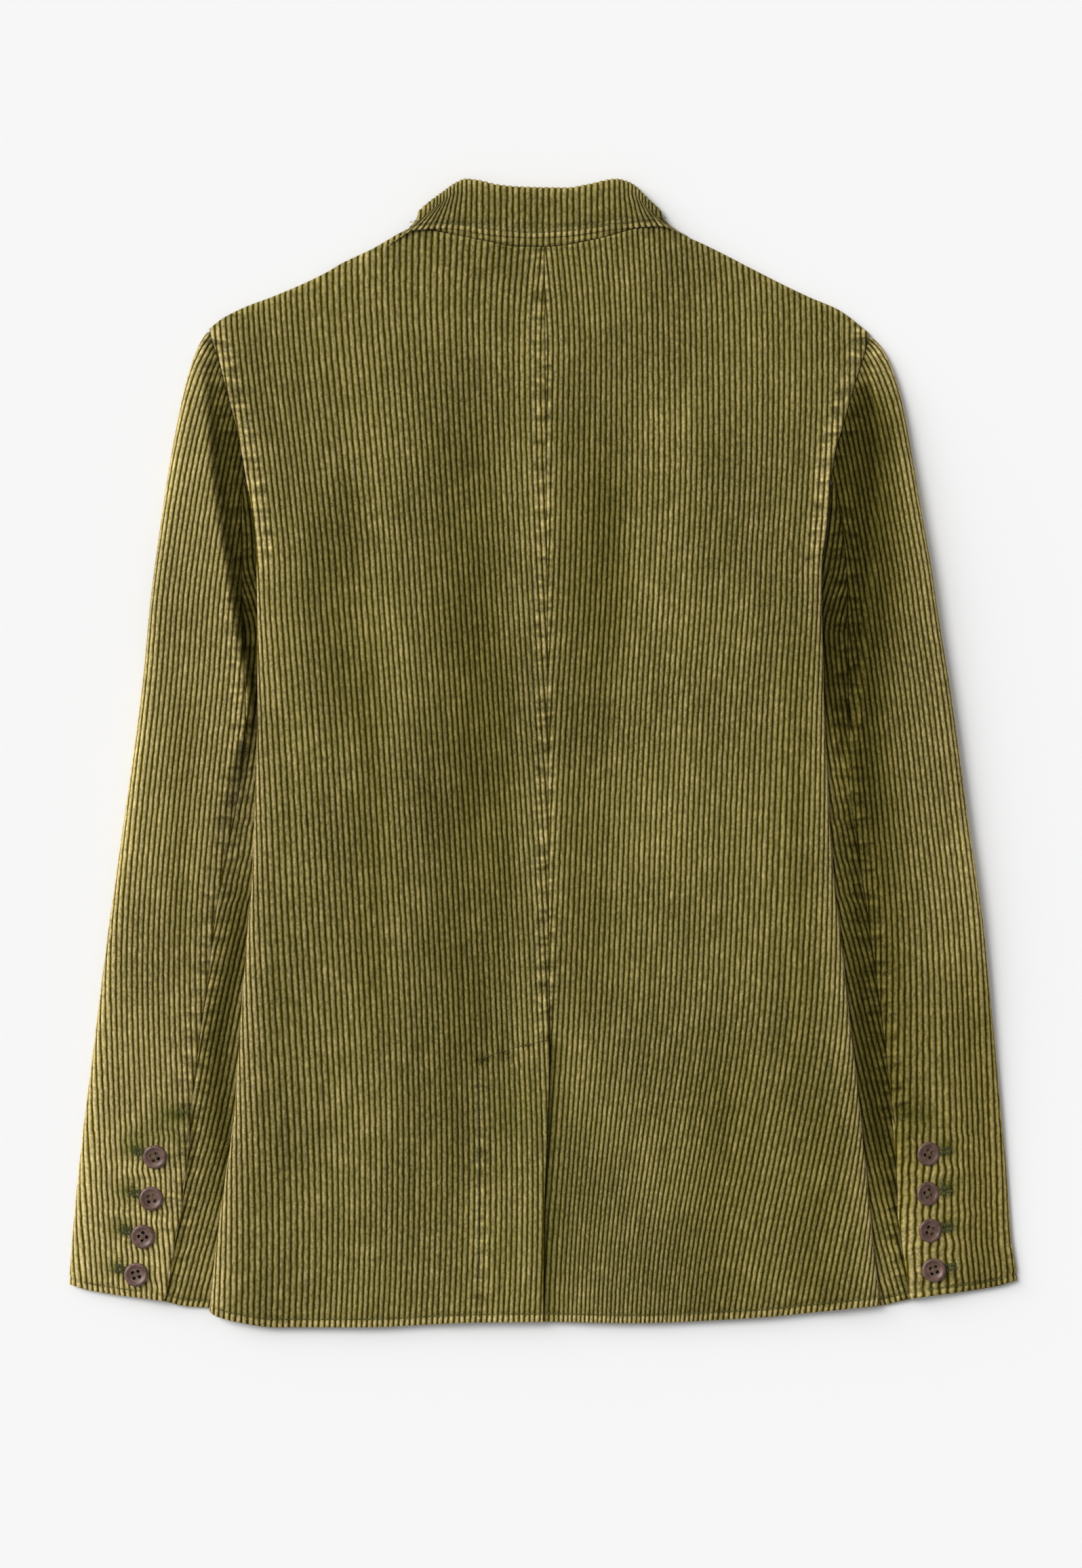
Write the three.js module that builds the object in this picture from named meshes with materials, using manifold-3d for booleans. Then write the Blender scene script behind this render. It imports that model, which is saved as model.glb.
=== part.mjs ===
// A wide-wale corduroy blazer laid flat on its front, so that its back shows.
// Millimetres. +Y runs to the collar, +Z up, and the cloth rests on z = 0.
// Left and right are those of somebody who looks down on the back.
import * as THREE from 'three';
import { mergeVertices } from 'three/addons/utils/BufferGeometryUtils.js';
import Module from 'manifold-3d';

const wasm = await Module();
wasm.setup();

// Driving dimensions
const cloth = 1.7;            // wall of one layer, without its ribs
const seamGap = 0.3;          // clear gap between pieces
const layer = cloth + seamGap;
const ribHeight = 0.7;        // how far a rib stands above the wall
const ribPitch = 8.3;         // two wales of 4.15 mm to each rib
const fullHalfBack = 228;     // a back half across its widest part
const backTop = 7.0;          // outer height of the back over the fronts
const stripLift = 2 * layer + ribHeight;   // a front over the sleeve's hidden strip
const sideTop = stripLift + layer + cloth;
const shoulderTop = layer + cloth;
const neckPointTop = 2 * layer + cloth;
const rimRoll = 18;           // how far in from an edge the back reaches its height
const sleeveOverlap = 15;     // how far a sleeve runs beneath the body
const underarm = 134;         // y of the lowest point of the armhole
const underSleeveTop = 180;   // y where the under sleeve begins
const fallTop = 9.7;          // outer height of the collar
const ventTop = -192;
const ventLap = 47;
const frontLap = 22;          // each front past the centre
const breakPoint = 40;        // y where a front's edge begins to turn back
const lapelBottom = 113;
const gorge = 287;
const buttonRadius = 7.85;
const buttonHeight = 3.2;
const holeRadius = 0.95;
const holeSpread = 1.9;

const olive = 0x76703c;
const tan = 0x8f8650;
const brown = 0x59403a;

function table(columns, rows) {
  return rows.map((row) => Object.fromEntries(columns.map((name, i) => [name, row[i]])));
}

// Plan outline, as distances from the centre line
const bodyEdge = {
  left: table(['y', 'x'], [[-386, 225], [-373, 223.8], [-337, 220.1], [-279, 212.4], [-247, 207.8],
    [-176, 202.8], [-134, 199.6], [-84, 195.5], [-8, 192.8], [50, 191.9], [134, 192.3], [151, 193.7],
    [172, 196.9], [188, 200.1], [208, 203.3], [224, 207.4], [243, 212.8], [263, 217.8], [281, 223.6],
    [284.5, 224.2]]),
  right: table(['y', 'x'], [[-386, 227], [-370, 225.8], [-337, 222.2], [-264, 214.9], [-215, 209.9],
    [-185, 206.2], [-122, 199.4], [-89, 195.3], [-8, 190.3], [50, 188], [126, 186.5], [146, 189.2],
    [167, 191.8], [188, 192.6], [201, 195.3], [217, 200.3], [245, 208.5], [268, 215.8], [281, 219]]),
};
const sleeveOut = {
  left: table(['y', 'x'], [[-386, 319.5], [-357, 318.1], [-330, 316.2], [-264, 309.9], [-205, 302.6],
    [-122, 292.1], [-35, 279.8], [50, 268.4], [102, 263.4], [151, 257], [185, 252], [214, 247],
    [245, 240.6], [263, 235.6], [274, 231.1], [284.5, 224.4]]),
  right: table(['y', 'x'], [[-386, 320], [-355, 317.8], [-330, 314.2], [-279, 310.5], [-205, 303.7],
    [-119, 295.5], [-48, 285.5], [38, 273.6], [89, 265.4], [123, 260.4], [159, 254.1], [200, 247.2],
    [235, 240.8], [257, 234.5], [270, 228.5], [279, 221]]),
};
const elbowSeam = {
  left: table(['y', 'x'], [[-368, 255.2], [-334, 249.3], [-305, 244.3], [-247, 237.9], [-201, 232],
    [-151, 225.1], [-92, 217.4], [-58, 210.6], [-21, 203.7], [17, 198.7], [60, 200.5], [110, 202.5],
    [170, 202.5], [180, 201.2], [188, 200.4]]),
  right: table(['y', 'x'], [[-366, 248.1], [-345, 244.5], [-301, 238.9], [-247, 238.1], [-231, 234.5],
    [-177, 227.2], [-134, 221.3], [-84, 214.4], [-50, 209.4], [-16, 205], [62, 204.9], [110, 204.5],
    [170, 198], [180, 195.5], [188, 192.9]]),
};
// Where the sleeve's crest begins, and where the valley beside it ends
const crestStart = {
  left: table(['y', 'x', 'base'], [[-380, 262, 228], [-150, 242, 206], [-60, 226, 199], [0, 206, 197],
    [29, 198, 194], [91, 208, 199], [156, 218, 206], [191, 223, 211], [227, 226, 216], [263, 229, 221],
    [280, 230, 226]]),
  right: table(['y', 'x', 'base'], [[-380, 264, 230], [-150, 244, 208], [-60, 228, 200], [-8, 208, 200],
    [50, 216, 206], [94, 220, 209], [159, 226, 213], [191, 228, 215], [221, 226, 216], [260, 222, 218],
    [280, 223, 221]]),
};
const sleeveHeights = table(['y', 'valley', 'crest'], [[-380, 3.7, 5.6], [-300, 3.7, 6.4], [-200, 3.7, 7],
  [134, 3.7, 7], [165, 4.6, 7], [200, 5.6, 7], [240, 5.6, 6.4], [265, 4.8, 5.4], [280, 3.9, 4.2]]);
const forearmSeam = table(['y', 'x'], [[-380, 252], [100, 222], [180, 222]]);
// Rows across the body and the sleeves, named by their height on the armhole and side edge
const lowRows = [-310, -210, -110, -10, 90];
const armholeRows = [134, 158, underSleeveTop, 188, 212, 240, 276];
const cuffHem = {
  left: table(['x', 'y'], [[200, -374.5], [224, -372.8], [241, -371.5], [256, -367.8], [285, -364.2],
    [307, -360.5], [318, -357.3], [322, -357]]),
  right: table(['x', 'y'], [[200, -374], [226, -371.5], [240, -368.3], [248, -366.4], [275, -362.8],
    [304, -358.3], [318, -354.6], [322, -354]]),
};
const topEdge = table(['x', 'y'], [[-224.2, 284.5], [-214.7, 291.7], [-198, 299.9], [-183, 305.4],
  [-146, 321.8], [-135, 328.2], [-114, 338.2], [-104, 344], [-96, 348.6], [-87, 352.2], [-65, 348.3],
  [-38, 342.8], [-16, 339.1], [3, 339.1], [34, 343.7], [70, 352.8], [80, 353.6], [88, 350.8],
  [96, 346], [106, 341.6], [124, 332.7], [136, 326.4], [179, 305.4], [198, 297.2], [219, 281.3]]);
const hem = table(['x', 'y'], [[-228, -371], [-220, -377.8], [-203, -382.4], [-180, -385.6],
  [-122, -385.6], [-43, -382.2], [1, -381.9], [56, -382.8], [143, -379.2], [186, -375.1], [228, -370.5]]);
const centreSeam = table(['y', 'x'], [[-386, -0.1], [-314, 0.6], [-218, 3.8], [-192, 4], [50, 3.1],
  [340, 0.8]]);
// Broad soft folds of the back: place, half width, depth and the y range that they run over
const folds = table(['x', 'width', 'depth', 'low', 'high'], [[-178, 20, -0.6, 60, 250],
  [-135, 24, -0.8, -300, 260], [-95, 20, 0.5, -260, 200], [-60, 22, -0.7, -330, 180],
  [28, 20, -0.6, -150, 260], [80, 34, 0.5, -60, 240], [128, 26, 0.6, -330, 120], [165, 18, -0.5, -200, 90]]);
const collarTop = table(['x', 'y'], [[-94, 354.3], [-78, 368.7], [-67, 376.9], [-60, 381.8], [-52, 385.1],
  [-44, 384.3], [-31, 381.3], [-13, 379.7], [16, 379.2], [30, 381.5], [49, 385.1], [56, 383.6], [61, 381],
  [70, 372.4], [84, 359.6], [88, 356.2]]);
const collarLow = table(['x', 'y'], [[-94, 351.3], [-87, 353.6], [-65, 353.7], [-38, 348.7], [-6, 346],
  [16, 347.3], [52, 353.2], [79, 355.8], [88, 353.2]]);
// How far the collar turns under itself, to the front's collar points at its two ends
const collarReturn = table(['at', 'x', 'y'], [[-94, -132, 292], [-78, -112, 292], [-64, -80, 292],
  [-57, -66, 300], [-50, -52, 371], [0, 0, 367], [46, 47, 371], [53, 66, 300], [60, 80, 292],
  [74, 112, 292], [88, 130, 292]]);
// Outer edge of what lies beneath a front: the lapel and the collar point above it
const lapelOut = table(['y', 'x'], [[100, 1], [113, 12], [160, 48], [220, 88], [260, 122], [286, 136],
  [292, 134], [345, 108], [356, 100]]);
const frontEdge = table(['y', 'x'], [[-390, -frontLap], [breakPoint, -frontLap], [100, 1],
  [318, 72], [353, 86]]);
const cuffButtons = {
  left: table(['x', 'y'], [[260.2, -271.1], [262.7, -299.1], [268.3, -324.5], [272.8, -350.2]]),
  right: table(['x', 'y'], [[257.6, -268.9], [257.2, -295.8], [258.8, -320.4], [261.7, -347.1]]),
};
const sides = { left: -1, right: 1 };

const clamp = (value, low, high) => Math.min(Math.max(value, low), high);
const mix = (a, b, share) => a + (b - a) * share;

function ease(low, high, value) {
  const share = clamp((value - low) / (high - low), 0, 1);
  return share * share * (3 - 2 * share);
}

// Smooth reading of a table's column, held level past its two ends
function read(rows, key, at, column) {
  const last = rows.length - 1;
  if (at <= rows[0][key]) return rows[0][column];
  if (at >= rows[last][key]) return rows[last][column];
  let i = 0;
  while (rows[i + 1][key] < at) i += 1;
  const slope = (a, b) => (rows[b][column] - rows[a][column]) / (rows[b][key] - rows[a][key]);
  const width = rows[i + 1][key] - rows[i][key];
  const middle = slope(i, i + 1);
  const gentle = (a, b) => (a * b <= 0 ? 0 : (2 * a * b) / (a + b));
  const start = i > 0 ? gentle(slope(i - 1, i), middle) : middle;
  const end = i + 1 < last ? gentle(middle, slope(i + 1, i + 2)) : middle;
  const t = (at - rows[i][key]) / width;
  const low = rows[i][column];
  const high = rows[i + 1][column];
  return low * (1 + 2 * t) * (1 - t) ** 2 + high * t * t * (3 - 2 * t)
    + width * t * (1 - t) * (start * (1 - t) - end * t);
}

const sideName = (x) => (x < 0 ? 'left' : 'right');
const edgeAt = (side, y) => read(bodyEdge[side], 'y', y, 'x');

// Outer height of the back, without ribs
function backHeight(side, x, y) {
  const fromSide = Math.max(edgeAt(side, y) - Math.abs(x), 0);
  const fromTop = Math.max(read(topEdge, 'x', x, 'y') - y, 0);
  const rise = (distance) => Math.sqrt(1 - (1 - clamp(distance / rimRoll, 0, 1)) ** 2);
  const sideRim = mix(sideTop, shoulderTop, ease(underarm, 284, y));
  const reach = Math.abs(x);
  const topRim = mix(mix(backTop, neckPointTop, ease(60, 82, reach)), shoulderTop, ease(112, 145, reach));
  const sideDrop = Math.max(backTop - sideRim, 0) * (1 - rise(fromSide));
  const topDrop = (backTop - topRim) * (1 - rise(fromTop));
  const sideLift = Math.max(sideRim - backTop, 0) * (1 - ease(22, 50, fromSide));
  const inside = ease(0, 30, Math.min(fromSide, fromTop));
  const folded = folds.reduce((sum, f) => sum + f.depth * Math.exp(-(((x - f.x) / f.width) ** 2))
    * ease(f.low, f.low + 60, y) * (1 - ease(f.high - 60, f.high, y)), 0);
  const vent = (1 - ease(ventTop + 10, ventTop + 45, y)) * (1 - ease(ventLap + 10, ventLap + 40, reach));
  const ventStep = side === 'left' ? 1 : -0.8 * (1 - ease(8, 28, reach));
  const height = backTop - Math.max(sideDrop, topDrop) + sideLift + inside * folded * (1 - vent)
    + vent * ventStep;
  return Math.max(height, frontLift(side, x, y) + layer + seamGap + cloth);
}

// How far a front is lifted off the floor by what lies beneath it
function frontLift(side, x, y) {
  const reach = side === 'left' ? -x : x;
  const fromSide = edgeAt(side, y) - reach;
  const strip = stripLift * (1 - ease(sleeveOverlap + 13, sleeveOverlap + 42, fromSide))
    * (1 - ease(underarm + 8, underarm + 54, y));
  const under = read(lapelOut, 'y', y, 'x');
  const lapel = layer * (1 - ease(under + 18, under + 38, reach)) * ease(102, 110, y);
  const past = -read(frontEdge, 'y', y, 'x');
  const lapped = side === 'right'
    ? layer * (1 - ease(past + 20, past + 38, reach)) : 0;
  return Math.max(strip, lapel, lapped);
}

// Outer height of a sleeve's upper layer, without ribs
function sleeveHeight(side, reach, y) {
  const crest = read(crestStart[side], 'y', y, 'x');
  const base = read(crestStart[side], 'y', y, 'base');
  const valley = read(sleeveHeights, 'y', y, 'valley');
  return mix(valley, read(sleeveHeights, 'y', y, 'crest'), ease(base, crest, reach));
}

// A closed cloth wall between an outer and an inner grid with equally many rows, facing outwards
function wall(outer, inner) {
  const positions = [];
  const index = [];
  const put = (grid) => grid.map((row) => row.map((p) => positions.push(p.x, p.y, p.z) / 3 - 1));
  const out = put(outer);
  const inn = put(inner);
  const face = (a, b, c) => {
    if (a !== b && b !== c && c !== a) index.push(a, b, c);
  };
  const skin = (ids, flip) => {
    for (let r = 0; r + 1 < ids.length; r += 1) {
      for (let c = 0; c + 1 < ids[r].length; c += 1) {
        const corners = [ids[r][c], ids[r][c + 1], ids[r + 1][c + 1], ids[r + 1][c]];
        if (flip) corners.reverse();
        face(corners[0], corners[1], corners[2]);
        face(corners[0], corners[2], corners[3]);
      }
    }
  };
  const zip = (a, b) => {
    let i = 0;
    let j = 0;
    while (i + 1 < a.length || j + 1 < b.length) {
      const stepOnA = j + 1 >= b.length
        || (i + 1 < a.length && (i + 1) / (a.length - 1) <= (j + 1) / (b.length - 1));
      if (stepOnA) {
        face(a[i], b[j], a[i + 1]);
        i += 1;
      } else {
        face(a[i], b[j], b[j + 1]);
        j += 1;
      }
    }
  };
  const column = (ids, at) => ids.map((row) => row.at(at));
  skin(out, false);
  skin(inn, true);
  zip(out[0], inn[0]);
  zip([...out.at(-1)].reverse(), [...inn.at(-1)].reverse());
  zip(column(out, 0).reverse(), column(inn, 0).reverse());
  zip(column(out, -1), column(inn, -1));
  const corner = (id) => new THREE.Vector3().fromArray(positions, 3 * id);
  let volume = 0;
  for (let i = 0; i < index.length; i += 3) {
    volume += corner(index[i]).dot(corner(index[i + 1]).cross(corner(index[i + 2])));
  }
  if (volume < 0) index.reverse();
  const geometry = new THREE.BufferGeometry();
  geometry.setAttribute('position', new THREE.Float32BufferAttribute(positions, 3));
  geometry.setIndex(index);
  return geometry;
}

const steps = (count) => Array.from({ length: count + 1 }, (_, i) => i / count);
const ribbed = (width) => steps(2 * Math.round(width / ribPitch));
const grid = (rows, columns, place) => rows.map((t) => columns.map((s, i) => place(s, t, i)));
const ribAt = (i, count) => (i % 2 === 1 && i < count - 1 ? ribHeight : 0);

// A panel's plan: s runs from the centre outwards, t from the hem up
function panelPlan(side, s, t, across) {
  const edge = (y) => read(bodyEdge[side], 'y', y, 'x');
  let y = mix(-380, 330, t);
  let x = 0;
  for (let round = 0; round < 8; round += 1) {
    x = across(s, y, edge(y));
    y = mix(read(hem, 'x', x, 'y'), read(topEdge, 'x', x, 'y'), t);
  }
  return { x, y };
}

// Shares of a panel's height at which its edge lies on the named rows
function panelRows(side) {
  const share = (y) => {
    const x = sides[side] * edgeAt(side, y);
    const low = read(hem, 'x', x, 'y');
    return (y - low) / (read(topEdge, 'x', x, 'y') - low);
  };
  return [0, ...[...lowRows, ...armholeRows].map(share), 1];
}

function backAcross(side) {
  const turn = sides[side];
  return (s, y, edge) => {
    const seam = read(centreSeam, 'y', y, 'x');
    const start = seam * turn + seamGap / 2;
    const straight = fullHalfBack * s;
    return turn * (start + straight + (edge - start - fullHalfBack) * s ** 2.5);
  };
}

function backPanel(side) {
  const across = backAcross(side);
  const rows = panelRows(side);
  const columns = ribbed(fullHalfBack);
  const at = (s, t) => {
    const plan = panelPlan(side, s, t, across);
    return { ...plan, z: backHeight(side, plan.x, plan.y) };
  };
  const outer = grid(rows, columns, (s, t, i) => {
    const p = at(s, t);
    return { ...p, z: p.z + ribAt(i, columns.length) };
  });
  const inner = grid(rows, steps(20), (s, t) => {
    const p = at(s, t);
    return { ...p, z: p.z - cloth };
  });
  return wall(outer, inner);
}

// The right half's vent extension, which lies beneath the left half
function ventUnderlap() {
  const top = 2 * layer + cloth;
  const place = (z) => grid(steps(4), steps(2), (s, t) => {
    const high = mix(ventTop - 14, ventTop, s);
    const y = mix(read(hem, 'x', 0, 'y') + 3, high, t);
    const seam = read(centreSeam, 'y', y, 'x');
    return { x: mix(seam - ventLap, seam + 6, s), y, z };
  });
  return wall(place(top), place(top - cloth));
}

// A front has more rows where its lapel begins
function frontRows(side) {
  const share = (y) => (y + 382) / (382 + 345);
  return [...panelRows(side), share(100), share(112)].sort((a, b) => a - b);
}

function frontPanel(side) {
  const turn = sides[side];
  const across = (s, y, edge) => turn * mix(read(frontEdge, 'y', y, 'x'), edge, s);
  const place = (up) => grid(frontRows(side), steps(14), (s, t) => {
    const p = panelPlan(side, s, t, across);
    return { ...p, z: frontLift(side, p.x, p.y) + up };
  });
  return wall(place(cloth), place(0));
}

function lapel(side) {
  const turn = sides[side];
  const place = (z) => grid(steps(6), steps(1), (s, t) => {
    const y = mix(lapelBottom, gorge, t);
    const roll = read(frontEdge, 'y', y, 'x');
    return { x: turn * mix(roll, read(lapelOut, 'y', y, 'x'), s), y, z };
  });
  return wall(place(cloth), place(0));
}

// Points round a flattened tube: over the top, round a folded edge and back beneath.
// Each path point knows its place and which way the wall's inside lies.
function foldPoint(edge, half, bulge, turnShare) {
  const angle = Math.PI * (0.5 - turnShare);
  const shape = (out, up) => ({
    along: edge - bulge + (bulge - out) * Math.cos(angle),
    z: half + (half - up) * Math.sin(angle),
  });
  return { outer: shape(0, 0), inner: shape(cloth, cloth) };
}

function sleeveRows(side, from) {
  const middle = read(cuffHem[side], 'x', 280, 'y');
  return [middle, ...lowRows, ...armholeRows].filter((y) => y <= from).map((y) => ({
    y,
    shift: (reach) => (Math.max(underarm - y, 0) / (underarm - middle)) ** 2
      * (read(cuffHem[side], 'x', reach, 'y') - middle),
  }));
}

// A sleeve piece from the elbow seam, over one folded edge, to its seam beneath.
// The way is +1 outwards for the top sleeve and -1 inwards for the under sleeve.
function sleevePiece(side, way, from, start, fold, end, width) {
  const turn = sides[side];
  const over = ribbed(width);
  const round = steps(6).slice(1, -1);
  const build = (top, skin) => sleeveRows(side, from).map(({ y, shift }) => {
    const edge = fold(y);
    const bulge = clamp(Math.abs(edge - start(y)) * 0.7, cloth + 0.5, 6);
    const topEnd = edge - way * bulge;
    const height = (reach) => sleeveHeight(side, reach, y);
    const drop = skin === 'inner' ? cloth : 0;
    const path = top.map((s, i) => {
      const reach = mix(start(y), topEnd, s);
      return { reach, z: height(reach) - drop + (skin === 'outer' ? ribAt(i, top.length) : 0) };
    });
    round.forEach((share) => {
      const point = foldPoint(0, height(topEnd) / 2, bulge, share)[skin];
      path.push({ reach: edge + way * point.along, z: point.z });
    });
    steps(3).forEach((s) => path.push({ reach: mix(topEnd, end(y), s), z: drop }));
    return path.map(({ reach, z }) => ({ x: turn * reach, y: y + shift(reach), z }));
  });
  return wall(build(over, 'outer'), build(steps(7), 'inner'));
}

function topSleeve(side) {
  const start = (y) => (y > underSleeveTop ? edgeAt(side, y) + seamGap
    : read(elbowSeam[side], 'y', y, 'x') + seamGap / 2);
  const out = (y) => read(sleeveOut[side], 'y', y, 'x');
  const end = (y) => (y > underSleeveTop ? edgeAt(side, y) + seamGap
    : read(forearmSeam, 'y', y, 'x') + seamGap / 2);
  return sleevePiece(side, 1, armholeRows.at(-1), start, out, end, 76);
}

function underSleeve(side) {
  const start = (y) => read(elbowSeam[side], 'y', y, 'x') - seamGap / 2;
  const fold = (y) => edgeAt(side, y) + seamGap - (sleeveOverlap + seamGap)
    * ease(0, 1, (underarm - y) / 60);
  const end = (y) => read(forearmSeam, 'y', y, 'x') - seamGap / 2;
  return sleevePiece(side, -1, underSleeveTop, start, fold, end, 42);
}

// The collar's fall turns over at its upper edge and runs back beneath
function collarFall() {
  const first = collarTop[0].x;
  const last = collarTop.at(-1).x;
  const turns = steps(6).slice(1, -1);
  const build = (across, skin) => {
    const drop = skin === 'inner' ? cloth : 0;
    const paths = across.map((u, i) => {
      const at = mix(first, last, u);
      const low = read(collarLow, 'x', at, 'y');
      const high = read(collarTop, 'x', at, 'y');
      const back = { x: read(collarReturn, 'at', at, 'x'), y: read(collarReturn, 'at', at, 'y') };
      const bulge = clamp((high - low) * 0.8, cloth + 0.6, 7);
      const rib = skin === 'outer' ? ribAt(i, across.length) : 0;
      const over = steps(3).map((v) => ({ x: at, y: mix(low, high - bulge, v), z: fallTop - drop + rib }));
      const round = turns.map((share) => {
        const point = foldPoint(high, fallTop / 2, bulge, share)[skin];
        return { x: at, y: point.along, z: point.z };
      });
      const beneath = steps(2).map((v) => ({
        x: mix(at, back.x, v), y: mix(high - bulge, back.y, v), z: drop,
      }));
      return [...over, ...round, ...beneath];
    });
    return paths[0].map((_, row) => paths.map((path) => path[row]));
  };
  return wall(build(ribbed(last - first), 'outer'), build(steps(26), 'inner'));
}

// The stand runs from the neck seam up beneath the fall
function collarStand() {
  const columns = ribbed(150);
  const inset = 12;
  const place = (across, skin) => grid(steps(2), across, (s, t, i) => {
    const x = mix(-80, 76, s);
    const low = read(topEdge, 'x', x, 'y') + seamGap;
    const y = mix(low, read(collarTop, 'x', x, 'y') - inset, t);
    const rib = skin === 'outer' ? ribAt(i, across.length) : -cloth;
    return { x, y, z: mix(mix(backTop, neckPointTop + 0.6, ease(60, 80, Math.abs(x))), 6.2, t) + rib };
  });
  return wall(place(columns, 'outer'), place(columns, 'inner'));
}

function solid(geometry) {
  const bare = geometry.toNonIndexed();
  bare.deleteAttribute('normal');
  bare.deleteAttribute('uv');
  const merged = mergeVertices(bare, 1e-4);
  return new wasm.Manifold(new wasm.Mesh({
    numProp: 3,
    vertProperties: new Float32Array(merged.attributes.position.array),
    triVerts: new Uint32Array(merged.index.array),
  }));
}

function geometryOf(body) {
  const mesh = body.getMesh();
  const geometry = new THREE.BufferGeometry();
  geometry.setAttribute('position', new THREE.BufferAttribute(mesh.vertProperties, 3));
  geometry.setIndex(new THREE.BufferAttribute(mesh.triVerts, 1));
  return geometry;
}

// A four-hole button with a raised rim round a dished middle
function buttonGeometry() {
  const profile = [[0, 0], [0.75, 0], [1, 0.4], [0.94, 1], [0.76, 0.72], [0, 0.68]]
    .map(([r, h]) => new THREE.Vector2(r * buttonRadius, h * buttonHeight));
  const disc = new THREE.LatheGeometry(profile, 16);
  disc.rotateX(Math.PI / 2);
  let body = solid(disc);
  [0, 1, 2, 3].forEach((i) => {
    const angle = (i + 0.5) * Math.PI / 2;
    const hole = new THREE.CylinderGeometry(holeRadius, holeRadius, 3 * buttonHeight, 5);
    hole.rotateX(Math.PI / 2);
    hole.translate(holeSpread * Math.SQRT2 * Math.cos(angle), holeSpread * Math.SQRT2 * Math.sin(angle), 0);
    body = body.subtract(solid(hole));
  });
  return geometryOf(body);
}

const clothMaterial = (color) => new THREE.MeshStandardMaterial({ color, roughness: 0.95, metalness: 0 });
const jacket = new THREE.Group();

function addPiece(name, geometry, material) {
  const mesh = new THREE.Mesh(geometry, material);
  mesh.name = name;
  jacket.add(mesh);
  return mesh;
}

addPiece('back_left', backPanel('left'), clothMaterial(olive));
addPiece('back_right', geometryOf(solid(backPanel('right')).add(solid(ventUnderlap()))), clothMaterial(olive));
addPiece('collar_fall', collarFall(), clothMaterial(olive));
addPiece('collar_stand', collarStand(), clothMaterial(olive));
Object.keys(sides).forEach((side) => {
  addPiece(`front_${side}`, frontPanel(side), clothMaterial(olive));
  addPiece(`lapel_${side}`, lapel(side), clothMaterial(olive));
  addPiece(`sleeve_top_${side}`, topSleeve(side), clothMaterial(tan));
  addPiece(`sleeve_under_${side}`, underSleeve(side), clothMaterial(tan));
  cuffButtons[side].forEach(({ x, y }, i) => {
    const button = addPiece(`cuff_button_${side}_${i + 1}`, buttonGeometry(),
      new THREE.MeshStandardMaterial({ color: brown, roughness: 0.5, metalness: 0 }));
    button.position.set(sides[side] * x, y, sleeveHeight(side, x, y) + ribHeight + seamGap);
  });
});

// The reference point is the middle of the footprint, on the floor
const box = new THREE.Box3().setFromObject(jacket);
const middle = box.getCenter(new THREE.Vector3());
jacket.position.set(-middle.x, -middle.y, -box.min.z);

export default jacket;
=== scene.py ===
import math

import bmesh
import bpy
import numpy as np
from mathutils import Matrix, Vector


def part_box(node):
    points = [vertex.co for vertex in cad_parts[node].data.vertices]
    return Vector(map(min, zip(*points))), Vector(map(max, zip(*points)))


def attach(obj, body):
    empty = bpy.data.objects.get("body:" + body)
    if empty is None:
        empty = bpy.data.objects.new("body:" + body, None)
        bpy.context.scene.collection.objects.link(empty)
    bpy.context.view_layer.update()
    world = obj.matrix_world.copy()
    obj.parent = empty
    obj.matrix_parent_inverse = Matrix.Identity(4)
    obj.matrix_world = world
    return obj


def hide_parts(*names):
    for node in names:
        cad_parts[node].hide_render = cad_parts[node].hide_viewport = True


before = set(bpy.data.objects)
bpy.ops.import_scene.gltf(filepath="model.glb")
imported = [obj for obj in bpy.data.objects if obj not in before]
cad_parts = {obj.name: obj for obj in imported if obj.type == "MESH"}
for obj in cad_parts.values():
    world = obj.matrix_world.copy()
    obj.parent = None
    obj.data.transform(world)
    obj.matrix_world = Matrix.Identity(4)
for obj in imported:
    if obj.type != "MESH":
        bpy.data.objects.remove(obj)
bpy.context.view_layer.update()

# Millimetres in the tables, metres in the meshes
MM = 0.001
cloth = 1.7
seam_gap = 0.3
layer = cloth + seam_gap
wale_pitch = 3.7
sleeve_pitch = 3.5
wale_depth = 0.95
strip_lift = 2 * layer + 0.7
side_top = strip_lift + layer + cloth
back_top = 7.6
shoulder_top = layer + cloth
neck_point_top = 2 * layer + cloth
rim_roll = 18
sleeve_overlap = 15
underarm = 134
under_sleeve_top = 180
vent_top = -192
vent_lap = 47
underlap_reach = 6
underlap_slope = 14
front_lap = 22
break_point = 40
lapel_bottom = 113
gorge = 287
fall_top = 10.6
button_radius = 8.05
hole_radius = 1.2
hole_spread = 2.6
# Share of a wale at which the columns of a surface stand: two groove sides, then the round ridge
wale_columns = (0.0, 0.09, 0.27, 0.5, 0.73, 0.91)
turns = {"left": -1, "right": 1}


def simple_material(name, color, roughness):
    material = bpy.data.materials.new(name)
    material.use_nodes = True
    shader = material.node_tree.nodes["Principled BSDF"]
    shader.inputs["Base Color"].default_value = (*color, 1)
    shader.inputs["Roughness"].default_value = roughness
    return material


def add_camera():
    camera = bpy.data.cameras.new("camera")
    camera.lens = 102.5
    camera.sensor_width = 36
    camera.sensor_fit = "AUTO"
    seat = bpy.data.objects.new("camera", camera)
    seat.location = (-0.0015, -0.021, 3.0)
    bpy.context.scene.collection.objects.link(seat)
    bpy.context.scene.camera = seat


def add_sun(name, strength, softness, toward):
    """A broad even light; softness is its width in degrees."""
    lamp = bpy.data.lights.new(name, "SUN")
    lamp.energy = strength
    lamp.angle = math.radians(softness)
    seat = bpy.data.objects.new(name, lamp)
    seat.rotation_euler = Vector(toward).to_track_quat("Z", "Y").to_euler()
    bpy.context.scene.collection.objects.link(seat)


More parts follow.
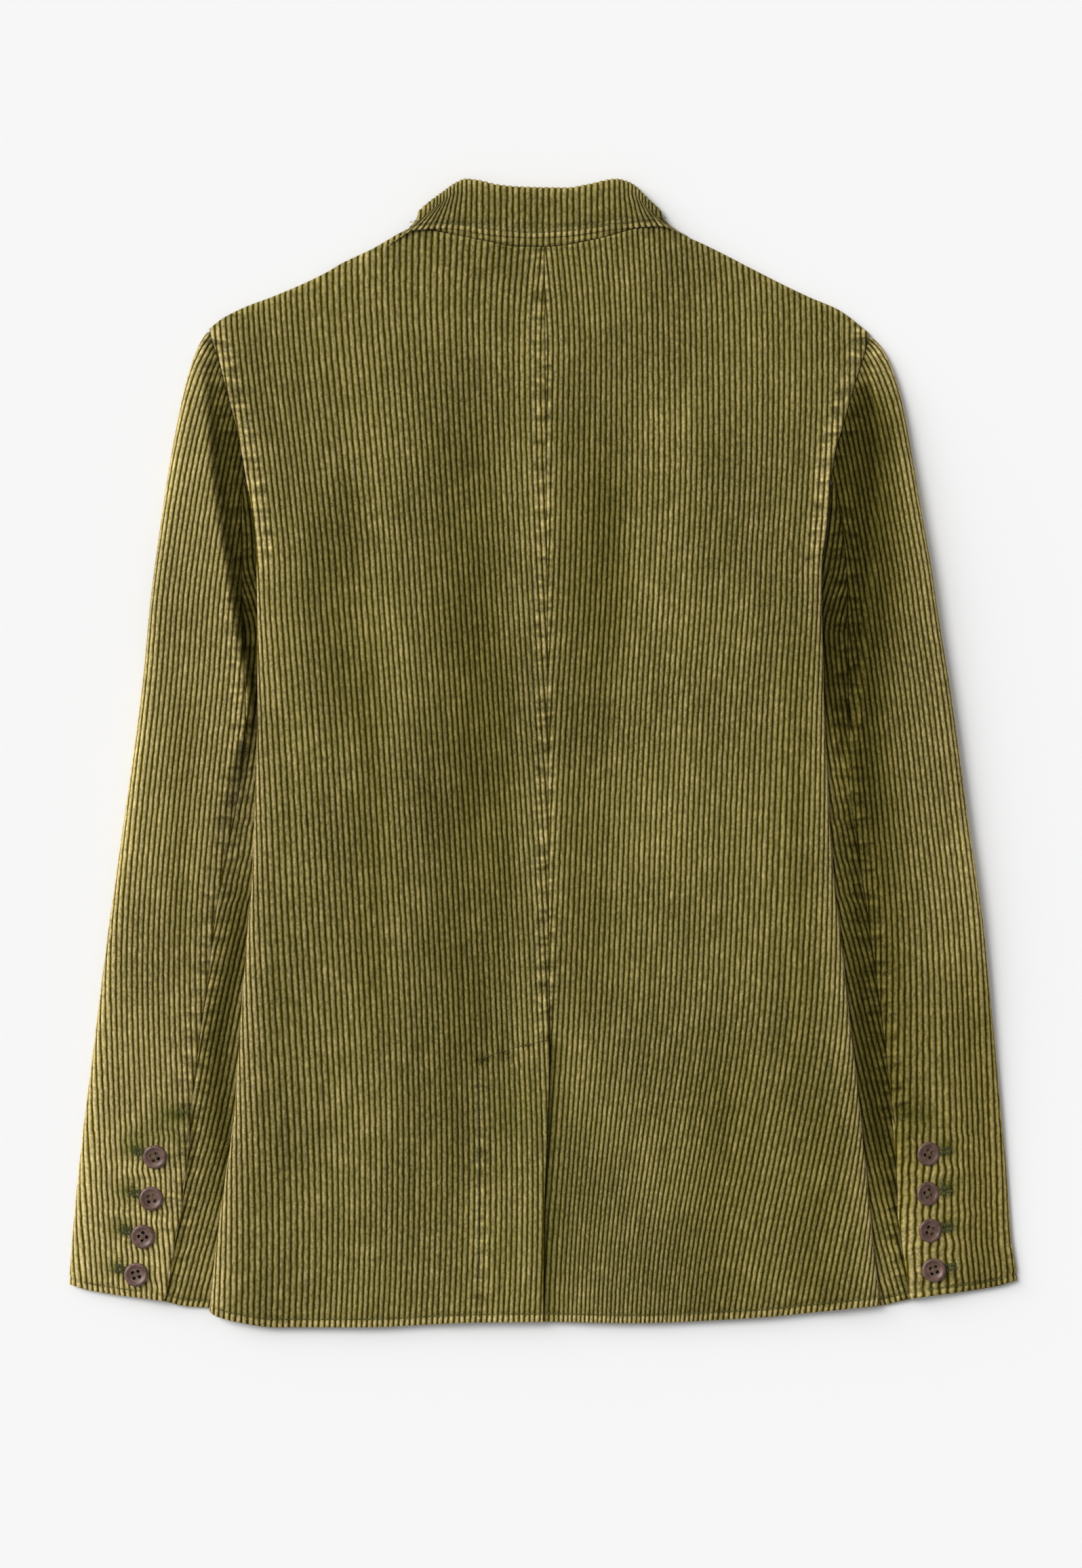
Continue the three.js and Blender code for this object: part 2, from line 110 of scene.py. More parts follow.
def add_floor():
    bm = bmesh.new()
    bmesh.ops.create_grid(bm, x_segments=2, y_segments=2, size=4)
    mesh = bpy.data.meshes.new("floor")
    bm.to_mesh(mesh)
    bm.free()
    floor = bpy.data.objects.new("floor", mesh)
    mesh.materials.append(simple_material("white_paper", (0.93, 0.93, 0.93), 0.9))
    bpy.context.scene.collection.objects.link(floor)


add_camera()
add_floor()
add_sun("window", 1.8, 28, (-0.62, 0.42, 0.85))
add_sun("low_window", 1.85, 40, (-0.8, 0.5, 0.31))
world = bpy.data.worlds.new("pale_room")
world.use_nodes = True
world.node_tree.nodes["Background"].inputs["Color"].default_value = (1, 1, 1, 1)
world.node_tree.nodes["Background"].inputs["Strength"].default_value = 0.385
bpy.context.scene.world = world
bpy.context.scene.view_settings.view_transform = "Standard"


def table(columns, rows):
    return {name: np.array([row[i] for row in rows], float) for i, name in enumerate(columns)}


# Outlines, as distances from the centre line
body_edge = {
    "left": table(["y", "x"], [
        (-386, 225), (-373, 223.8), (-337, 220.1), (-279, 212.4), (-247, 207.8), (-176, 202.8),
        (-134, 199.6), (-84, 195.5), (-8, 192.8), (50, 191.9), (134, 192.3), (151, 193.7),
        (172, 196.9), (188, 200.1), (208, 203.3), (224, 207.4), (243, 212.8), (263, 217.8),
        (281, 223.6), (284.5, 224.2)]),
    "right": table(["y", "x"], [
        (-386, 227), (-370, 225.8), (-337, 222.2), (-264, 214.9), (-215, 209.9), (-185, 206.2),
        (-122, 199.4), (-89, 195.3), (-8, 190.3), (50, 188), (126, 186.5), (146, 189.2),
        (167, 191.8), (188, 192.6), (201, 195.3), (217, 200.3), (245, 208.5), (268, 215.8),
        (281, 219)]),
}
sleeve_out = {
    "left": table(["y", "x"], [
        (-386, 319.5), (-357, 318.1), (-330, 316.2), (-264, 309.9), (-205, 302.6), (-122, 292.1),
        (-35, 279.8), (50, 268.4), (102, 263.4), (151, 257), (185, 252), (214, 247), (245, 240.6),
        (263, 235.6), (274, 231.1), (284.5, 224.4)]),
    "right": table(["y", "x"], [
        (-386, 320), (-355, 317.8), (-330, 314.2), (-279, 310.5), (-205, 303.7), (-119, 295.5),
        (-48, 285.5), (38, 273.6), (89, 265.4), (123, 260.4), (159, 254.1), (200, 247.2),
        (235, 240.8), (257, 234.5), (270, 228.5), (279, 221)]),
}
elbow_seam = {
    "left": table(["y", "x"], [
        (-368, 255.2), (-334, 249.3), (-305, 244.3), (-247, 237.9), (-201, 232), (-151, 225.1),
        (-92, 217.4), (-58, 210.6), (-21, 203.7), (17, 198.7), (60, 200.5), (110, 202.5),
        (170, 202.5), (180, 201.2), (188, 200.4)]),
    "right": table(["y", "x"], [
        (-366, 248.1), (-345, 244.5), (-301, 238.9), (-247, 238.1), (-231, 234.5), (-177, 227.2),
        (-134, 221.3), (-84, 214.4), (-50, 209.4), (-16, 205), (62, 204.9), (110, 204.5),
        (170, 198), (180, 195.5), (188, 192.9)]),
}
# Where a sleeve's crest begins, and where the valley beside it ends
crest_start = {
    "left": table(["y", "x", "base"], [
        (-380, 262, 228), (-150, 242, 206), (-60, 226, 199), (0, 206, 197), (29, 198, 194),
        (91, 208, 199), (156, 218, 206), (191, 223, 211), (227, 226, 216), (263, 229, 221),
        (280, 230, 226)]),
    "right": table(["y", "x", "base"], [
        (-380, 264, 230), (-150, 244, 208), (-60, 228, 200), (-8, 208, 200), (50, 216, 206),
        (94, 220, 209), (159, 226, 213), (191, 228, 215), (221, 226, 216), (260, 222, 218),
        (280, 223, 221)]),
}
# The cloth's crest stands higher than the plain solid's
vent_bar = -243
sleeve_heights = table(["y", "valley", "crest"], [
    (-380, 3.9, 6.4), (-340, 3.9, 7), (-300, 3.9, 7.5), (-265, 3.9, 8), (-200, 3.9, 10.5),
    (-60, 3.9, 14.5), (100, 3.9, 15), (165, 4.2, 13.5), (200, 4.6, 12), (240, 5.2, 9.5),
    (265, 4.8, 6.6), (280, 3.9, 4.6)])
forearm_seam = table(["y", "x"], [(-380, 252), (100, 222), (180, 222)])
cuff_hem = {
    "left": table(["x", "y"], [
        (200, -374.5), (224, -372.8), (241, -371.5), (256, -367.8), (285, -364.2), (307, -360.5),
        (318, -357.3), (322, -357)]),
    "right": table(["x", "y"], [
        (200, -374), (226, -371.5), (240, -368.3), (248, -366.4), (275, -362.8), (304, -358.3),
        (318, -354.6), (322, -354)]),
}
top_edge = table(["x", "y"], [
    (-224.2, 284.5), (-214.7, 291.7), (-198, 299.9), (-183, 305.4), (-146, 321.8), (-135, 328.2),
    (-114, 338.2), (-104, 344), (-96, 348.6), (-87, 352.2), (-65, 348.3), (-38, 342.8),
    (-16, 339.1), (3, 339.1), (34, 343.7), (70, 352.8), (80, 353.6), (88, 350.8), (96, 346),
    (106, 341.6), (124, 332.7), (136, 326.4), (179, 305.4), (198, 297.2), (219, 281.3)])
hem = table(["x", "y"], [
    (-228, -371), (-220, -377.8), (-203, -382.4), (-180, -385.6), (-122, -385.6), (-43, -382.2),
    (1, -381.9), (56, -382.8), (143, -379.2), (186, -375.1), (228, -370.5)])
centre_seam = table(["y", "x"], [
    (-386, -0.1), (-314, 0.6), (-218, 3.8), (-192, 4), (50, 3.1), (340, 0.8)])
# Broad soft folds of the back: place, half width, depth and the y range that they run over
folds = table(["x", "width", "depth", "low", "high"], [
    (-188, 12, 1.5, 40, 230), (-163, 16, -1.6, 40, 250), (-132, 20, -1.8, -300, 260),
    (-98, 17, 1.9, -260, 210), (-55, 20, -2.0, -330, 230), (-22, 14, 1.3, -200, 150),
    (33, 18, -1.9, -170, 270), (72, 20, 1.4, -60, 240), (105, 18, 1.3, -330, 260),
    (142, 20, 1.2, -330, 120), (168, 14, -1.7, -240, 120)])
# Lighter and darker stripes painted on the back: partly painted shade and light of its broad folds, partly
# wear of the pile
shade_and_wear_bands = table(["x", "width", "dark", "low", "high"], [
    (-135, 20, 0.35, -20, 210), (-98, 15, -0.15, -200, 200), (-52, 26, 0.42, -330, 260),
    (-14, 8, -0.30, -380, 330), (30, 20, 0.30, -200, 250), (84, 30, -0.22, -120, 280),
    (130, 20, 0.1, -330, 60), (172, 12, 0.35, -260, 120), (-184, 14, -0.2, -90, 210),
    (-160, 13, -0.45, -150, 80), (-114, 14, 0.42, -220, 110), (-112, 14, -0.35, 110, 270),
    (-46, 14, 0.25, -80, 170), (-24, 13, 0.4, -150, 110), (-40, 18, -0.4, -400, -180),
    (46, 16, 0.5, 30, 230), (118, 26, 0.4, -420, -170), (184, 24, 0.45, -420, -190)])
# Where each sleeve gets painted shade beside the body: the darkest line of it
shade_line = {
    "left": table(["y", "x"], [
        (-320, 205), (-290, 209), (-240, 215), (-200, 219), (-165, 214), (-130, 205), (-80, 202),
        (0, 199)]),
    "right": table(["y", "x"], [
        (-290, 233), (-200, 222), (-100, 215), (-30, 212), (50, 215), (120, 221), (232, 220)]),
}
collar_top = table(["x", "y"], [
    (-104, 345), (-94, 354.3), (-78, 368.7), (-67, 376.9), (-60, 381.8), (-52, 385.1), (-44, 384.3),
    (-31, 381.3), (-13, 379.7), (16, 379.2), (30, 381.5), (49, 385.1), (56, 383.6), (61, 381),
    (70, 372.4), (84, 359.6), (88, 356.2), (98, 349.5)])
collar_low = table(["x", "y"], [
    (-104, 340), (-94, 346.5), (-87, 350), (-65, 351.2), (-38, 347.5), (-6, 345.2), (16, 346.3),
    (52, 351.2), (79, 352.6), (88, 349.4), (98, 345)])
# How far the collar turns under itself, to the collar points at its two ends
collar_return = table(["at", "x", "y"], [
    (-104, -132, 292), (-82, -112, 292), (-66, -80, 292), (-58, -66, 300), (-50, -52, 371),
    (0, 0, 367), (46, 47, 371), (54, 66, 300), (62, 80, 292), (77, 112, 292), (98, 130, 292)])
lapel_out = table(["y", "x"], [
    (100, 1), (113, 12), (160, 48), (220, 88), (260, 122), (286, 136), (292, 134), (345, 108),
    (356, 100)])
front_edge = table(["y", "x"], [
    (-390, -front_lap), (break_point, -front_lap), (100, 1), (318, 72), (353, 86)])
cuff_buttons = {
    "left": table(["x", "y"], [(260.2, -271.1), (262.7, -299.1), (268.3, -324.5), (272.8, -350.2)]),
    "right": table(["x", "y"], [(257.6, -268.9), (257.2, -295.8), (258.8, -320.4), (261.7, -347.1)]),
}
vent_stitch_line = [(3.2, -192.6), (-20, -198), (-40, -204.5), (-43, -209), (-43.4, -300),
                    (-43, -381)]
bartacks = {"left": (-241.5, -241, 4), "right": (243, -246, 4)}
bar_strands = 11
# Degrees about X, about Y and about the button's own axis
button_tilts = {
    "left": [(2, -3, 22), (-2, 2, 8), (1, -3, 40), (-3, -2, 15)],
    "right": [(3, 16, 60), (-2, 18, 30), (2, 14, 75), (-2, -3, 20)],
}
buttonhole_way = {"left": (-0.95, 0.31), "right": (0.985, 0.17)}
hole_reach = 15
hole_stitches = 15
hole_fuzz = 90
# Spots where the pile has kept its green
green_patches = table(["x", "y", "width", "height", "amount"], [
    (-246, -243, 15, 7, 1), (-262, -256, 16, 8, 0.6), (-274, -266, 9, 7, 1),
    (-279, -294, 9, 7, 1), (-283, -319, 9, 7, 0.9), (-288, -345, 9, 6, 0.7),
    (-244, -262, 5, 12, 0.5), (250, -243, 14, 8, 0.8), (270, -265, 9, 6, 0.9),
    (270, -292, 9, 6, 0.9), (271, -316, 8, 6, 0.7), (-20, -240, 30, 20, 0.35),
    (-26, -330, 24, 14, 0.3), (20, -300, 26, 40, 0.25)])
# Degrees by which the wales lean, positive where they run down to the left
back_lean = {
    "left": table(["y", -183, -146, -92, -10], [
        (-369, 2, 3, 3, 3), (-296, -1, -1, 1, 0), (-223, -3, -3, -1.5, -2.5), (-150, -3.5, -3.5, -3, -2.5),
        (-77, -2, -3, -3.5, -3.5), (-4, -3.5, -3.5, -4, -4), (68, -4, -5, -4.5, -3.5),
        (141, -5.5, -6, -4.5, -3), (215, -7.5, -6.5, -4.5, -1.5), (260, -6, -6, -4, 0),
        (287, -4, -4, -4, 1.5), (305, -3, -2, -1, 5), (325, -2, -1, 1, 5)]),
    "right": table(["y", 18, 72, 127, 172], [
        (-369, 2, 3.5, 8, 10), (-296, 5, 9, 12, 12), (-223, 4, 8, 10, 10), (-150, 2.5, 3, 3, 3),
        (-77, 2.5, 1.5, 2, 2), (-4, 3, 3, 2.5, 1.5), (68, 4, 4, 5, 4), (141, 1.5, 3, 4, 4.5),
        (215, 1, -0.5, 0, 2), (260, 1, -0.5, -1, 0), (287, -3.5, -1, -1.5, -1),
        (305, -5, -2, -3, -2), (325, -6, -3, -5, -4)]),
}
# The wales stand a little closer near the middle: even places and real ones, at y = 0
wale_spread = {
    "left": table(["even", "real"], [
        (-290, -292), (-230, -229.5), (-172, -168.6), (-108, -103), (-45, -42), (0, 0), (60, 57)]),
    "right": table(["even", "real"], [
        (-60, -58), (0, 0), (28, 27.3), (92, 87.5), (156, 148.3), (230, 222), (300, 292)]),
}
# Degrees between the wales and a sleeve's folded edge, by the distance from that edge
sleeve_lean = {
    "left_top": table(["y", -60, 60], [
        (-380, -7, -8), (-300, -8, -8.5), (-200, -8, -9), (-150, -6, -7), (-86, -3, -3.5),
        (5, -1, -1.5), (96, -0.5, -1), (187, 0, 1), (280, 3, 5)]),
    "right_top": table(["y", -60, 30, 70], [
        (-380, -2, -2.5, -6), (-200, -2, -2.5, -6), (-150, -1.5, -2, -5), (-86, -1, -1.5, -3.5),
        (5, -0.5, -1, -1.5), (96, 0, -0.5, -1), (187, 0, 0, 1), (280, 3, 4, 5)]),
    "under": table(["y", -60, 60], [
        (-370, 8, 8.5), (-200, 6.5, 7), (-90, 9, 9.5), (0, 6, 7), (120, 2, 3), (180, 1, 2)]),
}


def mix(a, b, share):
    return a + (b - a) * share


def ease(low, high, value):
    share = np.clip((value - low) / (high - low), 0, 1)
    return share * share * (3 - 2 * share)


def bell(centre, width, value):
    return np.exp(-(((value - centre) / width) ** 2))


def read(rows, key, at, column):
    """Smooth reading of a table's column, held level past its two ends."""
    x = rows[key]
    y = rows[column]
    slope = np.diff(y) / np.diff(x)
    product = slope[:-1] * slope[1:]
    same_way = product > 0
    total = np.where(same_way, slope[:-1] + slope[1:], 1)
    gentle = np.where(same_way, 2 * product / total, 0)
    tangent = np.concatenate([slope[:1], gentle, slope[-1:]])
    at = np.clip(at, x[0], x[-1])
    i = np.clip(np.searchsorted(x, at, side="right") - 1, 0, len(x) - 2)
    width = x[i + 1] - x[i]
    t = (at - x[i]) / width
    return (y[i] * (1 + 2 * t) * (1 - t) ** 2 + y[i + 1] * t * t * (3 - 2 * t)
            + width * t * (1 - t) * (tangent[i] * (1 - t) - tangent[i + 1] * t))


def edge_at(side, y):
    return read(body_edge[side], "y", y, "x")


def lean_at(field, x, y):
    """Degrees of lean at a place, straight between the table's rows and columns."""
    places = sorted(key for key in field if key != "y")
    values = np.stack([np.interp(y, field["y"], field[key]) for key in places])
    spot = np.clip(x, places[0], places[-1])
    i = np.clip(np.searchsorted(places, spot, side="right") - 1, 0, len(places) - 2)
    low = np.array(places, float)[i]
    high = np.array(places, float)[i + 1]
    share = (spot - low) / (high - low)
    pick = np.arange(spot.size).reshape(spot.shape)
    flat = values.reshape(len(places), -1)
    return mix(flat[i, pick], flat[i + 1, pick], share)


def wander(x, y, scale, seed):
    """Smooth uneven waves between about -1 and 1."""
    chance = np.random.default_rng(seed)
    total = 0
    for _ in range(6):
        angle, phase = chance.uniform(0, 2 * math.pi, 2)
        length = scale * chance.uniform(0.6, 1.7)
        along = x * math.cos(angle) + y * math.sin(angle)
        total = total + np.sin(2 * math.pi * along / length + phase)
    return total / 3.2


path_step = 5.0
path_rows = np.arange(-400, 401, path_step)


def wale_paths(field, starts, way=1):
    """Where each column runs, for even steps of y, from its place at y = 0."""
    paths = np.zeros((len(starts), len(path_rows)))
    zero = len(path_rows) // 2
    paths[:, zero] = starts
    for step in (1, -1):
        last = len(path_rows) - 1 if step > 0 else 0
        for j in range(zero, last, step):
            lean = lean_at(field, paths[:, j], np.full(len(starts), path_rows[j]))
            paths[:, j + step] = paths[:, j] + step * way * path_step * np.tan(np.radians(lean))
    return paths


def on_path(paths, y):
    """Places of the columns (second axis) at their own heights y."""
    spot = np.clip((y - path_rows[0]) / path_step, 0, len(path_rows) - 1.001)
    j = spot.astype(int)
    column = np.broadcast_to(np.arange(y.shape[1]), y.shape)
    return mix(paths[column, j], paths[column, j + 1], spot - j)


def wale_numbers(low, high, shares=wale_columns):
    """Wale numbers of the columns between two places in mm."""
    whole = np.arange(math.floor(low / wale_pitch), math.ceil(high / wale_pitch))
    return (whole[:, None] + np.array(shares)[None, :]).ravel()


def ridge(wale):
    return np.sin(math.pi * (wale % 1)) ** 0.85


def sink(distance, reach, amount):
    """How far a round rim falls away at a distance from its edge."""
    return amount * (1 - np.sqrt(1 - (1 - np.clip(distance / reach, 0, 1)) ** 2))


def row_shares(height, step, near=(0, 0.4, 1, 1.9, 3, 4.2, 5.4, 6.8, 9, 12)):
    """Rows from 0 to 1 that stand closer together by the two rims."""
    near = np.array(near, float)
    count = max(2, round((height - 2 * near[-1]) / step))
    middle = np.linspace(near[-1], height - near[-1], count + 1)[1:-1]
    return np.concatenate([near, middle, height - near[::-1]]) / height


def wale_under(places, wales, spot):
    """The wale number at each spot, row by row, for columns held back at an edge."""
    return np.stack([np.interp(s, p, wales) for s, p in zip(spot, places)])


def front_lift(side, x, y):
    """How far a front is lifted off the floor by what lies beneath it."""
    reach = turns[side] * x
    from_side = edge_at(side, y) - reach
    strip = (strip_lift * (1 - ease(sleeve_overlap + 13, sleeve_overlap + 42, from_side))
             * (1 - ease(underarm + 8, underarm + 54, y)))
    under = read(lapel_out, "y", y, "x")
    lapel = layer * (1 - ease(under + 18, under + 38, reach)) * ease(102, 110, y)
    past = -read(front_edge, "y", y, "x")
    lapped = layer * (1 - ease(past + 20, past + 38, reach)) if side == "right" else 0
    return np.maximum(np.maximum(strip, lapel), lapped)


def band_shade(x, y):
    return sum(
        dark * bell(place, width, x) * ease(low, low + 70, y) * (1 - ease(high - 70, high, y))
        for place, width, dark, low, high in zip(*shade_and_wear_bands.values()))


def back_height(side, x, y):
    """Height of the back's outer face, without its wales."""
    reach = np.abs(x)
    from_side = np.maximum(edge_at(side, y) - reach, 0)
    from_top = np.maximum(read(top_edge, "x", x, "y") - y, 0)
    side_rim = mix(side_top, shoulder_top, ease(underarm, 284, y))
    top_rim = mix(mix(back_top, neck_point_top, ease(60, 82, reach)), shoulder_top,
                  ease(112, 145, reach))
    side_drop = sink(from_side, rim_roll, np.maximum(back_top - side_rim, 0))
    top_drop = sink(from_top, rim_roll, back_top - top_rim)
    side_lift = np.maximum(side_rim - back_top, 0) * (1 - ease(22, 50, from_side))
    inside = ease(0, 30, np.minimum(from_side, from_top))
    folded = sum(
        depth * bell(place, width, x) * ease(low, low + 60, y) * (1 - ease(high - 60, high, y))
        for place, width, depth, low, high in zip(*folds.values()))
    folded = folded + 0.45 * wander(x, y * 0.35, 60, 3)
    vent = (1 - ease(vent_top + 10, vent_top + 45, y)) * (
        1 - ease(vent_lap + 10, vent_lap + 40, reach))
    vent_step = 1.5 if side == "left" else -0.8 * (1 - ease(8, 28, reach))
    height = (back_top - np.maximum(side_drop, top_drop) + side_lift + inside * folded * (1 - vent)
              + vent * vent_step)
    return np.maximum(height, front_lift(side, x, y) + layer + seam_gap + cloth)


def back_surface(side, shares, wales, skin):
    """One half of the back; skin is 0 for the outer face and 1 for the inner one."""
    spread = wale_spread[side]
    paths = wale_paths(back_lean[side], np.interp(wales * wale_pitch, spread["even"], spread["real"]))
    shape = (len(shares), len(wales))
    share = np.broadcast_to(shares[:, None], shape)
    y = mix(-380, 330, share)
    for _ in range(8):
        across = on_path(paths, y)
        seam = read(centre_seam, "y", y, "x") + turns[side] * 0.05
        edge = turns[side] * edge_at(side, y)
        x = np.clip(across, np.minimum(seam, edge), np.maximum(seam, edge))
        inward = np.abs(edge - x)
        tucked = 3.6 * (1 - np.exp(-inward / 8)) * np.exp(-inward / 45) * (1 - ease(90, 140, y))
        x = x + turns[side] * tucked
        low = read(hem, "x", x, "y")
        high = read(top_edge, "x", x, "y")
        y = mix(low, high, share)
    wale = wale_under(across, wales, np.clip(across, np.minimum(seam, edge), np.maximum(seam, edge)))
    from_side = edge_at(side, y) - np.abs(x)
    from_seam = np.abs(x - seam)
    from_top = high - y
    from_hem = y - low
    nearest = np.minimum(np.minimum(from_side, from_seam), from_top)
    z = back_height(side, x, y)
    z = z - sink(nearest, 2.2, 1.2 - 0.2 * skin) - sink(from_hem, 2.6, 0.5 * cloth)
    z = z - 0.7 * bell(5.6, 1.3, from_hem) - sink(from_side, 9, 2.6) * (1 - ease(90, 140, y))
    seam_band = 7 if side == "left" else 2
    from_bar = y - mix(-192.5, -206, np.clip((3 - x) / 43, 0, 1))
    in_lap = ease(-47, -43, x) * (x < 4)
    open_vent = 1 - ease(vent_top - 4, vent_top, y)
    beside_vent = bell(-43, 5, x) * (1 - ease(-215, -200, y)) + bell(0, 4, from_bar) * in_lap
    pressed = np.hypot((x + 39) / 11, (y + 351) / 15)
    # Painted shade darkens the stitched dips of the vent and the centre seam; beside the vent's open edge
    # the right half gets a painted shadow of the left half's edge, and that edge gets a painted highlight.
    # The pressed ring on the left half is a mark of the cloth.
    marks = 1.1 * bell(0, 1.6, from_bar) * in_lap + 0.5 * bell(1, 0.14, pressed) * (side == "left")
    if side == "left":
        marks = marks + 0.3 * bell(0.3, 0.9, from_seam) * (1 - open_vent)
        marks = marks + 0.3 * bell(-43, 1.3, x) * (1 - ease(-215, -205, y)) - 0.3 * open_vent * bell(
            1.2, 1.5, from_seam)
    else:
        marks = marks + open_vent * (0.9 * bell(0, 2.2, from_seam) + 0.5 * bell(0, 9, from_seam))
    z = z - 0.5 * bell(0, 1.6, from_bar) * in_lap * (1 - skin)
    z = z - skin * (cloth - sink(from_hem, 2.6, cloth - 0.1))
    if not skin:
        z = z - wale_depth * (1 - ridge(wale)) * ease(-1.5, 2.5, nearest)
        y = y - 0.7 * ridge(wale) * (1 - ease(0, 6, from_hem)) + 0.5 * (1 - ease(0, 6, from_hem))
    return {
        "x": x, "y": y, "z": z, "wale": wale, "along": y,
        "pucker": np.maximum(
            np.maximum((1 - ease(seam_band, seam_band + 5, from_seam)) * (1 - open_vent),
                       0.5 * (1 - ease(2, 6, from_top))),
            np.maximum(1.1 * (1 - ease(8, 14, from_side)) * ease(110, 140, y),
                       0.7 * beside_vent)),
        "worn": np.maximum(0.85 * (1 - ease(3, 7, from_hem)), 1 - ease(0, 4, from_side)),
        # Tan wear along the side edges; the extra on the left edge low down is a painted highlight where
        # that edge faces the light
        "tan": 0.06 + (1 - ease(0, 22, from_side)) * (
            0.3 + (0.45 * (1 - ease(-160, -90, y)) if side == "left" else 0)),
        # Painted shade: the fold stripes, a dark line in the hem's stitched dip, and the marks above
        "shade": np.minimum(band_shade(x, y) + 0.5 * bell(5.6, 1, from_hem) + marks, 1),
    }


def green_at(x, y):
    """Where the pile has kept its green: pressed spots round the cuffs and on the back."""
    return sum(amount * bell(place_x, width, x) * bell(place_y, height, y)
               for place_x, place_y, width, height, amount in zip(*green_patches.values()))


def join_skins(name, outer, inner):
    """A closed cloth wall whose fine outer face and coarse inner face meet along four rims."""
    for skin in (outer, inner):
        skin["green"] = green_at(skin["x"], skin["y"])
    bm = bmesh.new()
    skins = []
    for skin, level in ((outer, 0), (inner, -0.1)):
        rows, columns = skin["x"].shape
        made = bmesh.ops.create_grid(bm, x_segments=columns - 1, y_segments=rows - 1, size=0.5)
        bmesh.ops.translate(bm, verts=made["verts"], vec=(0, 0, level))
        skins.append(made["verts"])
    bmesh.ops.reverse_faces(bm, faces=[f for f in bm.faces if f.verts[0].co.z < -0.05])
    rims = [e for e in bm.edges if e.is_boundary]
    for axis in (0, 1):
        for value in (-0.5, 0.5):
            side = [e for e in rims if all(abs(v.co[axis] - value) < 1e-5 for v in e.verts)]
            bmesh.ops.bridge_loops(bm, edges=side)
    mesh = bpy.data.meshes.new(name)
    bm.to_mesh(mesh)
    bm.free()
    flat = np.empty(3 * len(mesh.vertices), np.float32)
    mesh.vertices.foreach_get("co", flat)
    flat = flat.reshape(-1, 3)
    values = {key: np.zeros(len(flat)) for key in outer}
    for skin, here in ((outer, flat[:, 2] > -0.05), (inner, flat[:, 2] < -0.05)):
        rows, columns = skin["x"].shape
        row = np.rint((flat[here, 1] + 0.5) * (rows - 1)).astype(int)
        column = np.rint((flat[here, 0] + 0.5) * (columns - 1)).astype(int)
        for key in values:
            values[key][here] = skin[key][row, column]
    places = np.stack([values.pop(key) for key in ("x", "y", "z")], axis=1)
    places = (places + np.array(shift)) * MM
    mesh.vertices.foreach_set("co", places.astype(np.float32).ravel())
    for key, value in values.items():
        mesh.attributes.new(key, "FLOAT", "POINT").data.foreach_set("value", value.astype(np.float32))
    bm = bmesh.new()
    bm.from_mesh(mesh)
    bmesh.ops.remove_doubles(bm, verts=bm.verts, dist=2e-5)
    bmesh.ops.dissolve_degenerate(bm, edges=bm.edges, dist=1e-5)
    bmesh.ops.recalc_face_normals(bm, faces=bm.faces)
    bm.to_mesh(mesh)
    bm.free()
    return mesh


def smooth(mesh, angle=70):
    mesh.shade_smooth()
    mesh.set_sharp_from_angle(angle=math.radians(angle))


def place_mesh(name, mesh, material, nodes=()):
    piece = bpy.data.objects.new(name, mesh)
    bpy.context.scene.collection.objects.link(piece)
    mesh.materials.append(material)
    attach(piece, "root")
    if nodes:
        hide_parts(*nodes)
    return piece


def crest_sides(side, y):
    """Where the crest stands, and the foot of its steep side towards the body."""
    crest = read(crest_start[side], "y", y, "x")
    base = read(crest_start[side], "y", y, "base")
    return crest, mix(base, np.maximum(base, crest - 5), ease(-30, 60, y))


def sleeve_height(side, reach, y):
    crest, base = crest_sides(side, y)
    valley = read(sleeve_heights, "y", y, "valley")
    top = read(sleeve_heights, "y", y, "crest")
    rounded = top - 1.6 * ease(crest, crest + 45, reach)
    return mix(valley, rounded, ease(base, crest, reach))


def seam_start(side, part, y):
    """Where a sleeve piece begins on top: at the elbow seam, or at the armhole above it."""
    elbow = read(elbow_seam[side], "y", y, "x")
    if part == "under":
        return elbow - seam_gap / 2
    return mix(elbow + seam_gap / 2, edge_at(side, y) + seam_gap, ease(176, 186, y))


def sleeve_fold(side, part, y):
    if part == "top":
        return read(sleeve_out[side], "y", y, "x")
    beneath = (sleeve_overlap + seam_gap) * ease(0, 1, (underarm - y) / 60)
    return edge_at(side, y) + seam_gap - beneath


def seam_end(side, part, y):
    forearm = read(forearm_seam, "y", y, "x")
    if part == "under":
        return forearm - seam_gap / 2
    return mix(forearm + seam_gap / 2, edge_at(side, y) + seam_gap, ease(176, 186, y))


def cuff_rumple(side, reach, y):
    """How much the cloth round the cuff's buttons is rumpled, from 0 to 1."""
    return (1 - ease(-262, -232, y)) * bell(262, 30, reach)


def underlap_surface(shares, wales, skin):
    """The right half's vent extension, which lies beneath the left half."""
    across = np.clip(wales * wale_pitch - vent_lap, -vent_lap, underlap_reach)
    high = mix(vent_top - underlap_slope, vent_top, (across + vent_lap) / (vent_lap + underlap_reach))
    y = mix(float(read(hem, "x", 0, "y")) + 3, high, shares[:, None])
    across = np.broadcast_to(across, y.shape)
    level = 2 * layer + (0 if skin else cloth - 0.5 * wale_depth * (1 - ridge(wales)))
    plain = np.zeros(y.shape)
    return {
        "x": read(centre_seam, "y", y, "x") + across, "y": y, "z": plain + level,
        "wale": plain + wales, "along": y, "pucker": plain, "worn": plain, "tan": plain, "shade": plain,
    }


